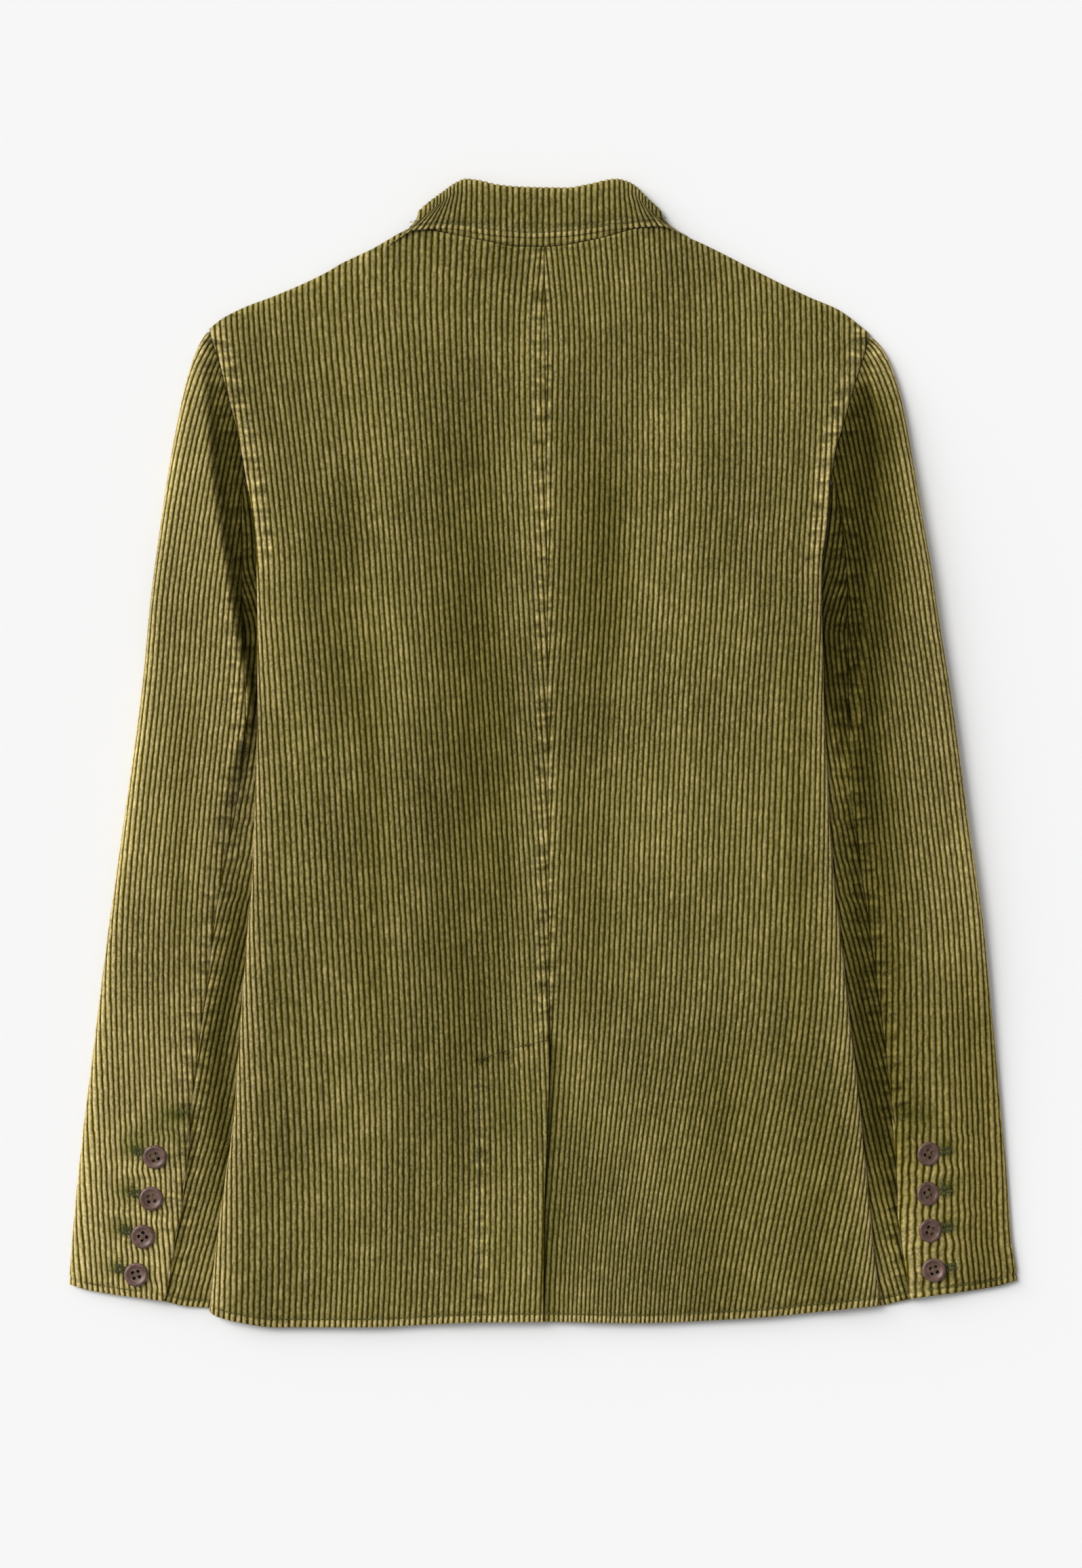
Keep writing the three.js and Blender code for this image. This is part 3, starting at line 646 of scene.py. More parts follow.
def shade_beside(side, reach, y):
    """Painted shade on a sleeve where it lies lower than the body beside it, in a crease of the left one
    and on the right one's outer lower part, and a painted highlight along the left sleeve's outer fold.
    """
    line = read(shade_line[side], "y", y, "x")
    if side == "left":
        crease = 0.35 * bell(244, 9, reach) * ease(-180, -110, y) * (1 - ease(0, 60, y))
        rim = -0.35 * bell(sleeve_fold(side, "top", y), 24, reach) * bell(-110, 110, y)
        beside = 0.8 * bell(line, 11, reach) * ease(-360, -290, y) * (1 - ease(-120, -50, y))
        tucked = 0.4 * (1 - ease(edge_at(side, y) - 2, edge_at(side, y) + 20, reach)) * bell(120, 75, y)
        return crease + rim + beside + tucked
    wide = np.where(reach < line, 16, mix(27, 20, ease(-40, 20, y)))
    outside = 0.8 * bell(300, 38, reach) * (1 - ease(-190, -90, y))
    return outside + 1.2 * bell(line, wide, reach) * ease(-350, -240, y) * (1 - ease(215, 260, y))


def sleeve_surface(side, part, rows, wales, skin):
    """A sleeve piece from its seam on top, over its folded edge, to its seam beneath."""
    way = 1 if part == "top" else -1
    shape = (len(rows), len(wales))
    y = np.broadcast_to(rows[:, None], shape)
    fold = sleeve_fold(side, part, y)
    start = seam_start(side, part, y)
    if part == "top":
        start = start + 0.9 * wander(y, 0 * y, 14, 21) * (1 - ease(-262, -245, y)) - 0.8 * (
            1 - ease(-262, -245, y))
    end = seam_end(side, part, y)
    bulge = np.clip(np.abs(fold - start) * 0.45, cloth + 0.3, 9)
    half = sleeve_height(side, fold - way * bulge, y) / 2
    arc = math.pi / 2 * np.sqrt((bulge ** 2 + half ** 2) / 2)
    lean = sleeve_lean["under" if part == "under" else f"{side}_top"]
    across = on_path(wale_paths(lean, wales * sleeve_pitch, way), y)
    first = -(np.abs(fold - end) - bulge + arc)
    last = np.abs(fold - start) - bulge + arc
    q = np.clip(across, first, last)
    wale = wale_under(across, wales, q)
    upper = np.where(q < 0, -1, 1)
    angle = np.clip(np.abs(q) / arc, 0, 1) * math.pi / 2
    past = np.maximum(np.abs(q) - arc, 0)
    reach = fold - way * (bulge * (1 - np.cos(angle)) + past)
    z = np.where(past > 0, np.where(q > 0, sleeve_height(side, reach, y), 0),
                 half + upper * half * np.sin(angle))
    from_hem = y - rows[0]
    from_seam = last - q
    from_top = rows[-1] - y
    sunk = (sink(from_hem, 2.6, 0.5 * cloth) + sink(np.minimum(from_seam, from_top), 2.2, 1.1)
            + 0.6 * bell(4.8, 1.3, from_hem))
    if skin:
        sunk = np.maximum(sunk + 0.1, cloth - sink(from_hem, 2.6, 0.4 * cloth))
    else:
        sunk = sunk + wale_depth * (1 - ridge(wale)) * ease(-1.5, 2.5, from_seam)
    reach = reach - way * np.cos(angle) * sunk
    z = z - upper * np.sin(angle) * sunk
    middle = read(cuff_hem[side], "x", 280, "y")
    slant = (np.maximum(underarm - y, 0) / (underarm - middle)) ** 2
    swing = cuff_rumple(side, reach, y) + 0.9 * bell(-70, 60, y) * (part == "under")
    reach = reach + 0.6 * wander(reach * 0.5, y, 14, 11) * swing * ease(0, 8, np.minimum(from_seam, q))
    z = z + 0.35 * wander(reach * 0.8, y, 17, 12) * swing * ease(2, 10, q) * (1 - skin)
    down = slant * (read(cuff_hem[side], "x", reach, "y") - middle)
    fringe = 0.6 * (0.5 - ridge(wale)) * (1 - ease(0, 6, from_hem)) if not skin else 0
    crest, base = crest_sides(side, y)
    # Painted shade in the valley between the sleeve's crest and the body, and a dark line in the cuff's
    # stitched dip
    valley = (1 - ease(base, crest, reach)) * (1 - 0.5 * ease(200, 270, y)) * ease(-15, 60, y)
    shade = 1.15 * valley + 0.5 * bell(4.8, 0.9, from_hem) * (1 - skin)
    opening = 1 - ease(vent_bar - 8, vent_bar + 4, y)
    # The negative term is a painted highlight along the outer fold
    shade = shade + shade_beside(side, reach, y) - 0.35 * bell(0, 11, q)
    if part == "top":
        z = z + 1.5 * opening * (1 - ease(4, 22, from_seam)) * (q > 0)
    else:
        # Painted shade on the under sleeve: a little all over, more beside the body, and a painted shadow
        # of the top sleeve's lapped edge at the cuff's opening
        beside = 1 - ease(4, 26, reach - edge_at(side, y))
        shade = shade + 0.12 + 0.15 * beside + 0.8 * opening * (1 - ease(0, 9, from_seam))
    return {
        "x": turns[side] * reach, "y": y + down + fringe, "z": z, "wale": wale, "along": y,
        "pucker": np.maximum(0.9 * (1 - ease(6, 14, np.minimum(from_seam, from_top))),
                             0.45 * cuff_rumple(side, reach, y)),
        "worn": np.maximum(np.maximum(0.9 * (1 - ease(0, 6, from_hem)), 0.6 * bell(0, 10, q)),
                           0.8 * opening * (1 - ease(0, 7, from_seam)) * (part == "top")),
        "tan": (0.35 if side == "left" else 0.28) + 0.4 * (1 - ease(-330, -120, y)) * (part == "top"),
        "shade": np.where(q > -8, np.minimum(shade, 1.3), 0),
    }


def collar_surface(turn_wales, levels, skin):
    """The fall from its lower edge up over its fold; levels run from 0 to 1 on top, to 2 beneath."""
    shape = (len(levels), len(turn_wales))
    turn_wales = np.clip(turn_wales, collar_left / collar_pitch, collar_right / collar_pitch)
    at = np.broadcast_to((turn_wales * collar_pitch)[None, :], shape)
    level = np.broadcast_to(levels[:, None], shape)
    fold_x = at * (1 - 0.19 * ease(38, 98, np.abs(at)))
    low = read(collar_low, "x", at, "y")
    high = read(collar_top, "x", fold_x, "y")
    back_x = read(collar_return, "at", at, "x")
    back_y = read(collar_return, "at", at, "y")
    bulge = np.clip((high - low) * 0.6, cloth + 0.4, 8)
    turn_low, turn_high = 0.6, 1.4
    upper = np.clip(level / turn_low, 0, 1)
    from_end = np.minimum(at - collar_left, collar_right - at)
    thin = mix(0.8, 1, ease(0, 16, from_end))
    half = fall_top / 2 * thin
    angle = np.clip((turn_high - level) / (turn_high - turn_low), 0, 1) * math.pi - math.pi / 2
    over = mix(low, high - bulge, upper)
    share = np.clip((level - turn_high) / (2 - turn_high), 0, 1)
    y = np.where(level <= turn_low, over,
                 np.where(level < turn_high, high - bulge + bulge * np.cos(angle),
                          mix(high - bulge, back_y, share)))
    x = np.where(level > turn_high, mix(fold_x, back_x, share), mix(at, fold_x, upper))
    from_low = np.where(level <= turn_low, y - low, 40)
    z = half + half * np.sin(angle) - 1.3 * (1 - ease(0, 12, from_low)) * ease(12, 40, from_end)
    sunk = (sink(from_low, 2.4, 0.5 * cloth) + sink(from_end, 2, 0.8)
            + 0.55 * (bell(3.2, 0.9, from_low) + bell(6, 0.9, from_low)))
    if skin:
        sunk = np.maximum(sunk + 0.1, cloth - sink(from_low, 2.4, 0.4 * cloth))
    else:
        sunk = sunk + wale_depth * (1 - ridge(turn_wales)[None, :])
    y = y - np.cos(angle) * sunk * (np.abs(level - 1) < 0.4)
    z = z - np.sin(angle) * sunk
    fringe = 0.9 * (0.5 - ridge(turn_wales))[None, :] * (1 - ease(0, 5, from_low)) * (1 - skin)
    return {
        "x": x, "y": y + fringe, "z": z, "wale": np.broadcast_to(turn_wales[None, :], shape),
        "along": y, "pucker": 0.5 * (1 - ease(6, 12, from_low)),
        "worn": np.maximum(1.2 * (1 - ease(1, 3.5, from_low)), 0.6 * bell(1, 0.25, level)),
        "tan": np.full(shape, 0.08), "shade": np.full(shape, 0.12),
    }


def stand_surface(wales, levels, skin):
    """The band between the neck seam and the fall."""
    shape = (len(levels), len(wales))
    wales = np.clip(wales, stand_left / collar_pitch, stand_right / collar_pitch)
    x = np.broadcast_to((wales * collar_pitch)[None, :], shape)
    level = np.broadcast_to(levels[:, None], shape)
    low = read(top_edge, "x", x, "y") + seam_gap
    y = mix(low, read(collar_top, "x", x, "y") - 12, level)
    top = mix(back_top + 0.3, neck_point_top + 0.6, ease(60, 80, np.abs(x)))
    z = mix(top, 6.6, ease(0, 1, level)) - sink(y - low, 2, 1.2) - skin * cloth * 0.9
    if not skin:
        z = z - 0.7 * wale_depth * (1 - ridge(wales)[None, :])
    return {
        "x": x, "y": y, "z": z, "wale": np.broadcast_to(wales[None, :], shape), "along": y,
        "pucker": 0.6 * (1 - ease(2, 6, y - low)), "worn": np.zeros(shape),
        "tan": np.full(shape, 0.1),
        # Painted shadow on the stand under the fall's lower edge, and painted light on the rest of it
        "shade": -0.15 + 0.5 * ease(-3, 0, y - read(collar_low, "x", x, "y")),
    }


def front_surface(side, shares, wales, skin):
    """A front, whose outer face lies on the floor; it overlaps the other one at the centre."""
    shape = (len(shares), len(wales))
    share = np.broadcast_to(shares[:, None], shape)
    across = np.broadcast_to((wales * wale_pitch)[None, :], shape)
    y = mix(-380, 330, share)
    for _ in range(8):
        reach = np.clip(across, read(front_edge, "y", y, "x"), edge_at(side, y))
        x = turns[side] * reach
        low = read(hem, "x", x, "y")
        high = read(top_edge, "x", x, "y")
        y = mix(low, high, share)
    wale = wale_under(across, wales, reach)
    from_edge = np.minimum(np.minimum(reach - read(front_edge, "y", y, "x"), y - low),
                           np.minimum(edge_at(side, y) - reach, high - y))
    rise = sink(from_edge, 2.4, 0.5 * cloth)
    if skin:
        rise = cloth - sink(from_edge, 2.4, 0.4 * cloth)
    else:
        rise = rise + 0.6 * wale_depth * (1 - ridge(wale)) * ease(0, 3, from_edge)
    return {
        "x": x, "y": y, "z": front_lift(side, x, y) + rise, "wale": wale, "along": y,
        "pucker": np.zeros(shape), "worn": 1 - ease(0, 3, from_edge), "tan": np.full(shape, 0.1),
        "shade": np.zeros(shape),
    }


def lapel_surface(side, shares, wales, skin):
    """A lapel turned back on its front, face down."""
    shape = (len(shares), len(wales))
    y = mix(lapel_bottom, gorge, np.broadcast_to(shares[:, None], shape))
    roll = read(front_edge, "y", y, "x")
    out = read(lapel_out, "y", y, "x")
    across = np.broadcast_to((wales * wale_pitch)[None, :], shape)
    reach = np.clip(across, roll, out)
    wale = wale_under(across, wales, reach)
    from_edge = np.minimum(np.minimum(reach - roll, out - reach),
                           np.minimum(y - lapel_bottom, gorge - y))
    if skin:
        z = cloth - sink(from_edge, 2, 0.4 * cloth)
    else:
        z = sink(from_edge, 2, 0.5 * cloth) + 0.6 * wale_depth * (1 - ridge(wale)) * ease(0, 3, from_edge)
    return {
        "x": turns[side] * reach, "y": y, "z": z, "wale": wale, "along": y,
        "pucker": np.zeros(shape), "worn": 1 - ease(0, 3, from_edge), "tan": np.full(shape, 0.1),
        "shade": np.zeros(shape),
    }


# The tables' frame lies a little off the loaded one, by as much as a button's place shows
button_low, button_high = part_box("cuff_button_left_1")
button_middle = (button_low + button_high) / 2 / MM
shift = (button_middle.x + cuff_buttons["left"]["x"][0], button_middle.y - cuff_buttons["left"]["y"][0], 0)
collar_pitch = 4.05
collar_left, collar_right = -104, 98
stand_left, stand_right = -82, 79
coarse = (0.25, 0.75)


def add_node(tree, kind, inputs=None, **settings):
    made = tree.nodes.new(kind)
    for key, value in settings.items():
        setattr(made, key, value)
    for key, value in (inputs or {}).items():
        if isinstance(value, bpy.types.NodeSocket):
            tree.links.new(value, made.inputs[key])
        else:
            made.inputs[key].default_value = value
    return made


def calculate(tree, operation, *values, clamp=False):
    made = add_node(tree, "ShaderNodeMath", dict(enumerate(values)), operation=operation,
                    use_clamp=clamp)
    return made.outputs["Value"]


def fade(tree, value, low, high, start=0.0, end=1.0):
    """Smooth change from start to end while the value goes from low to high."""
    made = add_node(tree, "ShaderNodeMapRange",
                    {"Value": value, "From Min": low, "From Max": high, "To Min": start,
                     "To Max": end}, interpolation_type="SMOOTHSTEP")
    return made.outputs["Result"]


def noise(tree, vector, scale, detail=2.0, roughness=0.5):
    made = add_node(tree, "ShaderNodeTexNoise",
                    {"Vector": vector, "Scale": scale, "Detail": detail, "Roughness": roughness})
    return made.outputs["Fac"]


def vector_of(tree, x, y, z=0.0):
    return add_node(tree, "ShaderNodeCombineXYZ", {"X": x, "Y": y, "Z": z}).outputs["Vector"]


def blend_colors(tree, share, a, b, blend_type="MIX"):
    made = add_node(tree, "ShaderNodeMix", data_type="RGBA", blend_type=blend_type)
    for index, value in ((0, share), (6, a), (7, b)):
        if isinstance(value, bpy.types.NodeSocket):
            tree.links.new(value, made.inputs[index])
        elif index:
            made.inputs[index].default_value = (*value, 1)
        else:
            made.inputs[index].default_value = value
    return made.outputs[2]


def new_group(name, inputs, outputs):
    """A node group with named sockets; kinds are Float, Vector or Color."""
    tree = bpy.data.node_groups.new(name, "ShaderNodeTree")
    for socket, kind in inputs.items():
        tree.interface.new_socket(name=socket, in_out="INPUT", socket_type=f"NodeSocket{kind}")
    for socket, kind in outputs.items():
        tree.interface.new_socket(name=socket, in_out="OUTPUT", socket_type=f"NodeSocket{kind}")
    start = tree.nodes.new("NodeGroupInput")
    end = tree.nodes.new("NodeGroupOutput")
    return tree, start.outputs, end.inputs


def use_group(tree, group, **inputs):
    made = add_node(tree, "ShaderNodeGroup", node_tree=group)
    for key, value in inputs.items():
        socket = made.inputs[key.replace("_", " ")]
        if isinstance(value, bpy.types.NodeSocket):
            tree.links.new(value, socket)
        else:
            socket.default_value = value
    return made.outputs


def make_wale_group():
    """Ridge mask, pile grain, streaks and a tone for each wale, from the wale number."""
    tree, given, out = new_group(
        "wales", {"Wale": "Float", "Along": "Float"},
        {"Ridge": "Float", "Crown": "Float", "Grain": "Float", "Nap": "Float", "Streak": "Float",
         "Wale Tone": "Float"})
    sway = noise(tree, vector_of(tree, calculate(tree, "MULTIPLY", given["Wale"], 0.6),
                                 calculate(tree, "MULTIPLY", given["Along"], 0.12)), 1.0, 3.0)
    wale = calculate(tree, "MULTIPLY_ADD", sway, 0.4, given["Wale"])
    wale = calculate(tree, "SUBTRACT", wale, 0.2)
    part = calculate(tree, "FRACT", wale)
    side = calculate(tree, "MULTIPLY", calculate(tree, "ABSOLUTE",
                                                 calculate(tree, "SUBTRACT", part, 0.5)), 2.0)
    tree.links.new(fade(tree, side, 0.32, 0.95, 1.0, 0.0), out["Ridge"])
    tree.links.new(fade(tree, side, 0.15, 0.8), out["Crown"])
    whole = calculate(tree, "FLOOR", wale)
    tone = add_node(tree, "ShaderNodeTexWhiteNoise", {"W": whole}, noise_dimensions="1D")
    tree.links.new(tone.outputs["Value"], out["Wale Tone"])
    across = calculate(tree, "MULTIPLY", given["Wale"], wale_pitch)
    fine = vector_of(tree, across, calculate(tree, "MULTIPLY", given["Along"], 0.8))
    tree.links.new(noise(tree, fine, 1.35, 3.0, 0.7), out["Grain"])
    spots = vector_of(tree, calculate(tree, "MULTIPLY", across, 0.55),
                      calculate(tree, "MULTIPLY", given["Along"], 0.36),
                      calculate(tree, "MULTIPLY", whole, 0.7))
    tree.links.new(fade(tree, noise(tree, spots, 1.0, 2.0, 0.6), 0.33, 0.67), out["Nap"])
    long = vector_of(tree, calculate(tree, "MULTIPLY", across, 0.3),
                     calculate(tree, "MULTIPLY", given["Along"], 0.05),
                     calculate(tree, "MULTIPLY", whole, 0.37))
    tree.links.new(noise(tree, long, 1.0, 3.0, 0.6), out["Streak"])
    return tree


def make_pucker_group():
    """Uneven waves across a topstitched seam, where the thread draws the cloth together."""
    tree, given, out = new_group(
        "puckers", {"Wale": "Float", "Along": "Float", "Pucker": "Float"}, {"Wave": "Float"})
    spot = vector_of(tree, calculate(tree, "MULTIPLY", given["Wale"], 0.35),
                     calculate(tree, "MULTIPLY", given["Along"], 0.19))
    wave = calculate(tree, "MULTIPLY_ADD", noise(tree, spot, 1.0, 1.5), 2.6, -1.3)
    drift = calculate(tree, "MULTIPLY", noise(tree, spot, 0.5, 1.5), 8.0)
    for length, size in ((pucker_length, 0.45), (bead_length, 0.24)):
        phase = calculate(tree, "MULTIPLY_ADD", given["Along"], 2 * math.pi / length, drift)
        wave = calculate(tree, "MULTIPLY_ADD", calculate(tree, "SINE", phase), size, wave)
    tree.links.new(calculate(tree, "MULTIPLY", wave, given["Pucker"]), out["Wave"])
    return tree


def make_age_group():
    """Broad patches of lighter and darker, and of worn and greener cloth."""
    tree, given, out = new_group(
        "age", {"Place": "Vector"}, {"Tone": "Float", "Wear": "Float"})
    tree.links.new(noise(tree, given["Place"], 9.0, 3.0, 0.55), out["Tone"])
    tree.links.new(noise(tree, given["Place"], 70.0, 4.0, 0.65), out["Wear"])
    return tree


def corduroy_material():
    material = simple_material("olive_corduroy", olive_pile, 0.95)
    tree = material.node_tree
    shader = tree.nodes["Principled BSDF"]
    marks = {key: add_node(tree, "ShaderNodeAttribute", attribute_name=key).outputs["Fac"]
             for key in ("wale", "along", "pucker", "worn", "tan", "green", "shade")}
    place = add_node(tree, "ShaderNodeTexCoord").outputs["Object"]
    wales = use_group(tree, wale_group, Wale=marks["wale"], Along=marks["along"])
    waves = use_group(tree, pucker_group, Wale=marks["wale"], Along=marks["along"],
                      Pucker=marks["pucker"])
    age = use_group(tree, age_group, Place=place)
    worn = calculate(tree, "MULTIPLY_ADD", fade(tree, age["Wear"], 0.5, 0.72), 0.35, marks["tan"])
    worn = calculate(tree, "MULTIPLY_ADD", marks["worn"], 0.8, worn)
    worn = calculate(tree, "MULTIPLY_ADD", fade(tree, wales["Streak"], 0.35, 0.7), 0.25, worn)
    worn = calculate(tree, "MULTIPLY_ADD", marks["pucker"], 0.22, worn)
    worn = calculate(tree, "MULTIPLY_ADD", waves["Wave"], 0.4, worn, clamp=True)
    pile = blend_colors(tree, worn, olive_pile, tan_pile)
    pile = blend_colors(tree, calculate(tree, "MULTIPLY", marks["green"], 0.8, clamp=True), pile,
                        green_pile)
    pile = blend_colors(tree, wales["Crown"], pile, flank_tint, "MULTIPLY")
    low = calculate(tree, "MULTIPLY_ADD", marks["tan"], 0.25, 0.0, clamp=True)
    # The grooves' colour: the darker base weave together with painted shade in the grooves
    groove_weave_and_shade = blend_colors(tree, low, groove_color, tan_groove)
    color = blend_colors(tree, wales["Ridge"], groove_weave_and_shade, pile)
    light = calculate(tree, "MULTIPLY_ADD", fade(tree, age["Tone"], 0.3, 0.7), 0.32, 0.77)
    light = calculate(tree, "MULTIPLY_ADD", wales["Wale Tone"], 0.08, light)
    light = calculate(tree, "MULTIPLY_ADD", fade(tree, wales["Grain"], 0.3, 0.7), 0.42, light)
    light = calculate(tree, "MULTIPLY_ADD", wales["Nap"], 0.56, light)
    light = calculate(tree, "MULTIPLY_ADD", waves["Wave"], 0.3, light)
    light = calculate(tree, "SUBTRACT", light, 0.44)
    # Painted shade and light from the shade attribute: darker where it is positive, lighter where it is
    # negative, with more blue taken out in the shade
    light = calculate(tree, "MULTIPLY", light,
                      calculate(tree, "MULTIPLY_ADD", marks["shade"], -0.6, 1.0))
    light = calculate(tree, "MAXIMUM", light, 0.04)
    painted_shade_blue = calculate(tree, "MULTIPLY_ADD", marks["shade"], -0.35, 1.0, clamp=True)
    blue = calculate(tree, "MULTIPLY", light, painted_shade_blue)
    tint = add_node(tree, "ShaderNodeCombineColor", {"Red": light, "Green": light, "Blue": blue})
    color = blend_colors(tree, 1.0, color, tint.outputs["Color"], "MULTIPLY")
    tree.links.new(color, shader.inputs["Base Color"])
    puckered = add_node(tree, "ShaderNodeBump",
                        {"Height": waves["Wave"], "Strength": 0.9, "Distance": 0.0009})
    bump = add_node(tree, "ShaderNodeBump",
                    {"Height": wales["Grain"], "Strength": 0.55, "Distance": 0.0005,
                     "Normal": puckered.outputs["Normal"]})
    tree.links.new(bump.outputs["Normal"], shader.inputs["Normal"])
    shader.inputs["Sheen Weight"].default_value = 0.05
    shader.inputs["Sheen Roughness"].default_value = 0.45
    shader.inputs["Sheen Tint"].default_value = (0.75, 0.66, 0.2, 1)
    shader.inputs["Specular IOR Level"].default_value = 0.02
    return material


# Colours as linear light
olive_pile = (0.215, 0.186, 0.075)
tan_pile = (0.47, 0.383, 0.20)
green_pile = (0.085, 0.098, 0.02)
flank_tint = (0.82, 0.79, 0.3)
# Dark groove colours: the base weave's own colour together with painted shade in the grooves
groove_color = (0.042, 0.033, 0.0)
tan_groove = (0.13, 0.10, 0.01)
pucker_length = 16.0
bead_length = 5.6
wale_group = make_wale_group()
pucker_group = make_pucker_group()
age_group = make_age_group()
corduroy = corduroy_material()


def evenly(points, step):
    """Points at even steps along a bent line, and the line's direction at each."""
    points = np.array(points, float)
    legs = np.linalg.norm(np.diff(points, axis=0), axis=1)
    run = np.concatenate([[0], np.cumsum(legs)])
    at = np.arange(step / 2, run[-1], step)
    spots = np.stack([np.interp(at, run, points[:, axis]) for axis in (0, 1)], axis=1)
    ahead = np.stack([np.interp(at + 0.5, run, points[:, axis]) for axis in (0, 1)], axis=1)
    behind = np.stack([np.interp(at - 0.5, run, points[:, axis]) for axis in (0, 1)], axis=1)
    return spots, ahead - behind


def add_strand(bm, start, end, radius, segments=6):
    """A short thread, thickest in its middle, between two places in mm."""
    start, end = Vector(start), Vector(end)
    matrix = (Matrix.Translation((start + end) / 2 * MM)
              @ (end - start).to_track_quat("Z", "Y").to_matrix().to_4x4()
              @ Matrix.Diagonal((radius * MM, radius * MM, (end - start).length / 2 * MM, 1)))
    bmesh.ops.create_uvsphere(bm, u_segments=segments, v_segments=5, radius=1, matrix=matrix)


def thread_piece(name, bm, cloth_name, material):
    bmesh.ops.translate(bm, verts=bm.verts, vec=Vector(shift) * MM)
    mesh = bpy.data.meshes.new(name)
    bm.to_mesh(mesh)
    bm.free()
    mesh.shade_smooth()
    piece = place_mesh(name, mesh, material)
    sewn_on.setdefault(cloth_name, []).append(piece)
    return piece


def stitch_row(name, points, height, cloth_name, pitch=3.1, length=2.5, radius=0.3, sunk=0.15):
    """A line of topstitching that lies in the cloth at height(x, y)."""
    bm = bmesh.new()
    for (x, y), (run_x, run_y) in zip(*evenly(points, pitch)):
        reach = length / 2 / math.hypot(run_x, run_y)
        ends = [(x + way * run_x * reach, y + way * run_y * reach) for way in (-1, 1)]
        level = float(height(np.array(x), np.array(y))) - sunk
        add_strand(bm, (*ends[0], level), (*ends[1], level), radius)
    return thread_piece(name, bm, cloth_name, thread)


def on_back(side):
    return lambda x, y: back_height(side, x, y)


def on_sleeve(side):
    return lambda x, y: sleeve_height(side, abs(x), y)


def thread_material(name, color):
    material = simple_material(name, color, 0.8)
    tree = material.node_tree
    place = add_node(tree, "ShaderNodeTexCoord").outputs["Object"]
    twist = noise(tree, place, 1400.0, 2.0)
    tree.links.new(blend_colors(tree, twist, tuple(0.55 * c for c in color),
                                tuple(1.45 * c for c in color)),
                   tree.nodes["Principled BSDF"].inputs["Base Color"])
    return material


thread = thread_material("olive_thread", (0.07, 0.076, 0.016))
button_thread = thread_material("button_thread", (0.2, 0.14, 0.07))
# Near-black thread for the pads under the buttons: painted shadow in the button holes
hole_shadow_thread = thread_material("shaded_thread", (0.008, 0.006, 0.003))
sewn_on = {}


def sew_body(side):
    """Topstitching of the hem, centre back, armhole and vent."""
    turn = turns[side]
    cloth_name = f"back_{side}_cloth"
    across = np.linspace(3, 220, 40) if side == "right" else np.linspace(-1, -218, 40)
    stitch_row(f"hem_stitches_{side}", [(x, float(read(hem, "x", x, "y")) + 5.6) for x in across],
               on_back(side), cloth_name)
    up = np.linspace(138, 278, 20)
    stitch_row(f"armhole_stitches_{side}",
               [(turn * (float(edge_at(side, y)) - 8.5), y) for y in up], on_back(side), cloth_name,
               radius=0.24, sunk=0.45)
    if side == "left":
        down = np.linspace(334, -190, 60)
        stitch_row("centre_back_stitches", [(float(read(centre_seam, "y", y, "x")) - 9.5, y)
                                            for y in down], on_back(side), cloth_name,
                   radius=0.24, sunk=0.45)
        stitch_row("vent_stitches", vent_stitch_line, on_back(side), cloth_name, pitch=2.9)


def sew_collar():
    """Two rows of topstitching along the fall's lower edge."""
    places = np.linspace(-90, 84, 50)
    for number, (above, level) in enumerate(((3.2, fall_top - 1.6), (6.0, fall_top - 1.15))):
        row = [(x, float(read(collar_low, "x", x, "y")) + above) for x in places]
        stitch_row(f"collar_stitches_{number + 1}", row,
                   lambda x, y, level=level: level - 1.6 * ease(70, 98, np.abs(x)),
                   "collar_fall_cloth", pitch=2.9, length=2.3, radius=0.26, sunk=0.1)


def sew_sleeve(side):
    """Stitches of the cuff, the elbow seam and the bar above the cuff's vent."""
    turn = turns[side]
    hemmed = []
    for reach in np.linspace(226, 308, 30):
        hemmed.append((turn * reach, float(read(cuff_hem[side], "x", reach, "y")) + 4.8))
    stitch_row(f"cuff_stitches_{side}", hemmed, on_sleeve(side), f"sleeve_top_{side}_cloth")
    elbow = [(turn * (float(read(elbow_seam[side], "y", y, "x")) + 7), y)
             for y in np.linspace(-40, -238, 40)]
    stitch_row(f"elbow_stitches_{side}", elbow, on_sleeve(side), f"sleeve_top_{side}_cloth",
               radius=0.22, sunk=0.5)
    bm = bmesh.new()
    bar_x, bar_y, bar_half = bartacks[side]
    level = float(sleeve_height(side, abs(bar_x), bar_y)) + 0.15
    for i in range(bar_strands):
        along = bar_x + bar_half * (2 * i / (bar_strands - 1) - 1)
        lean = 0.7 if i % 2 else -0.7
        add_strand(bm, (along, bar_y - 1, level), (along + lean, bar_y + 1, level), 0.3)
    thread_piece(f"bartack_{side}", bm, f"sleeve_top_{side}_cloth", thread)


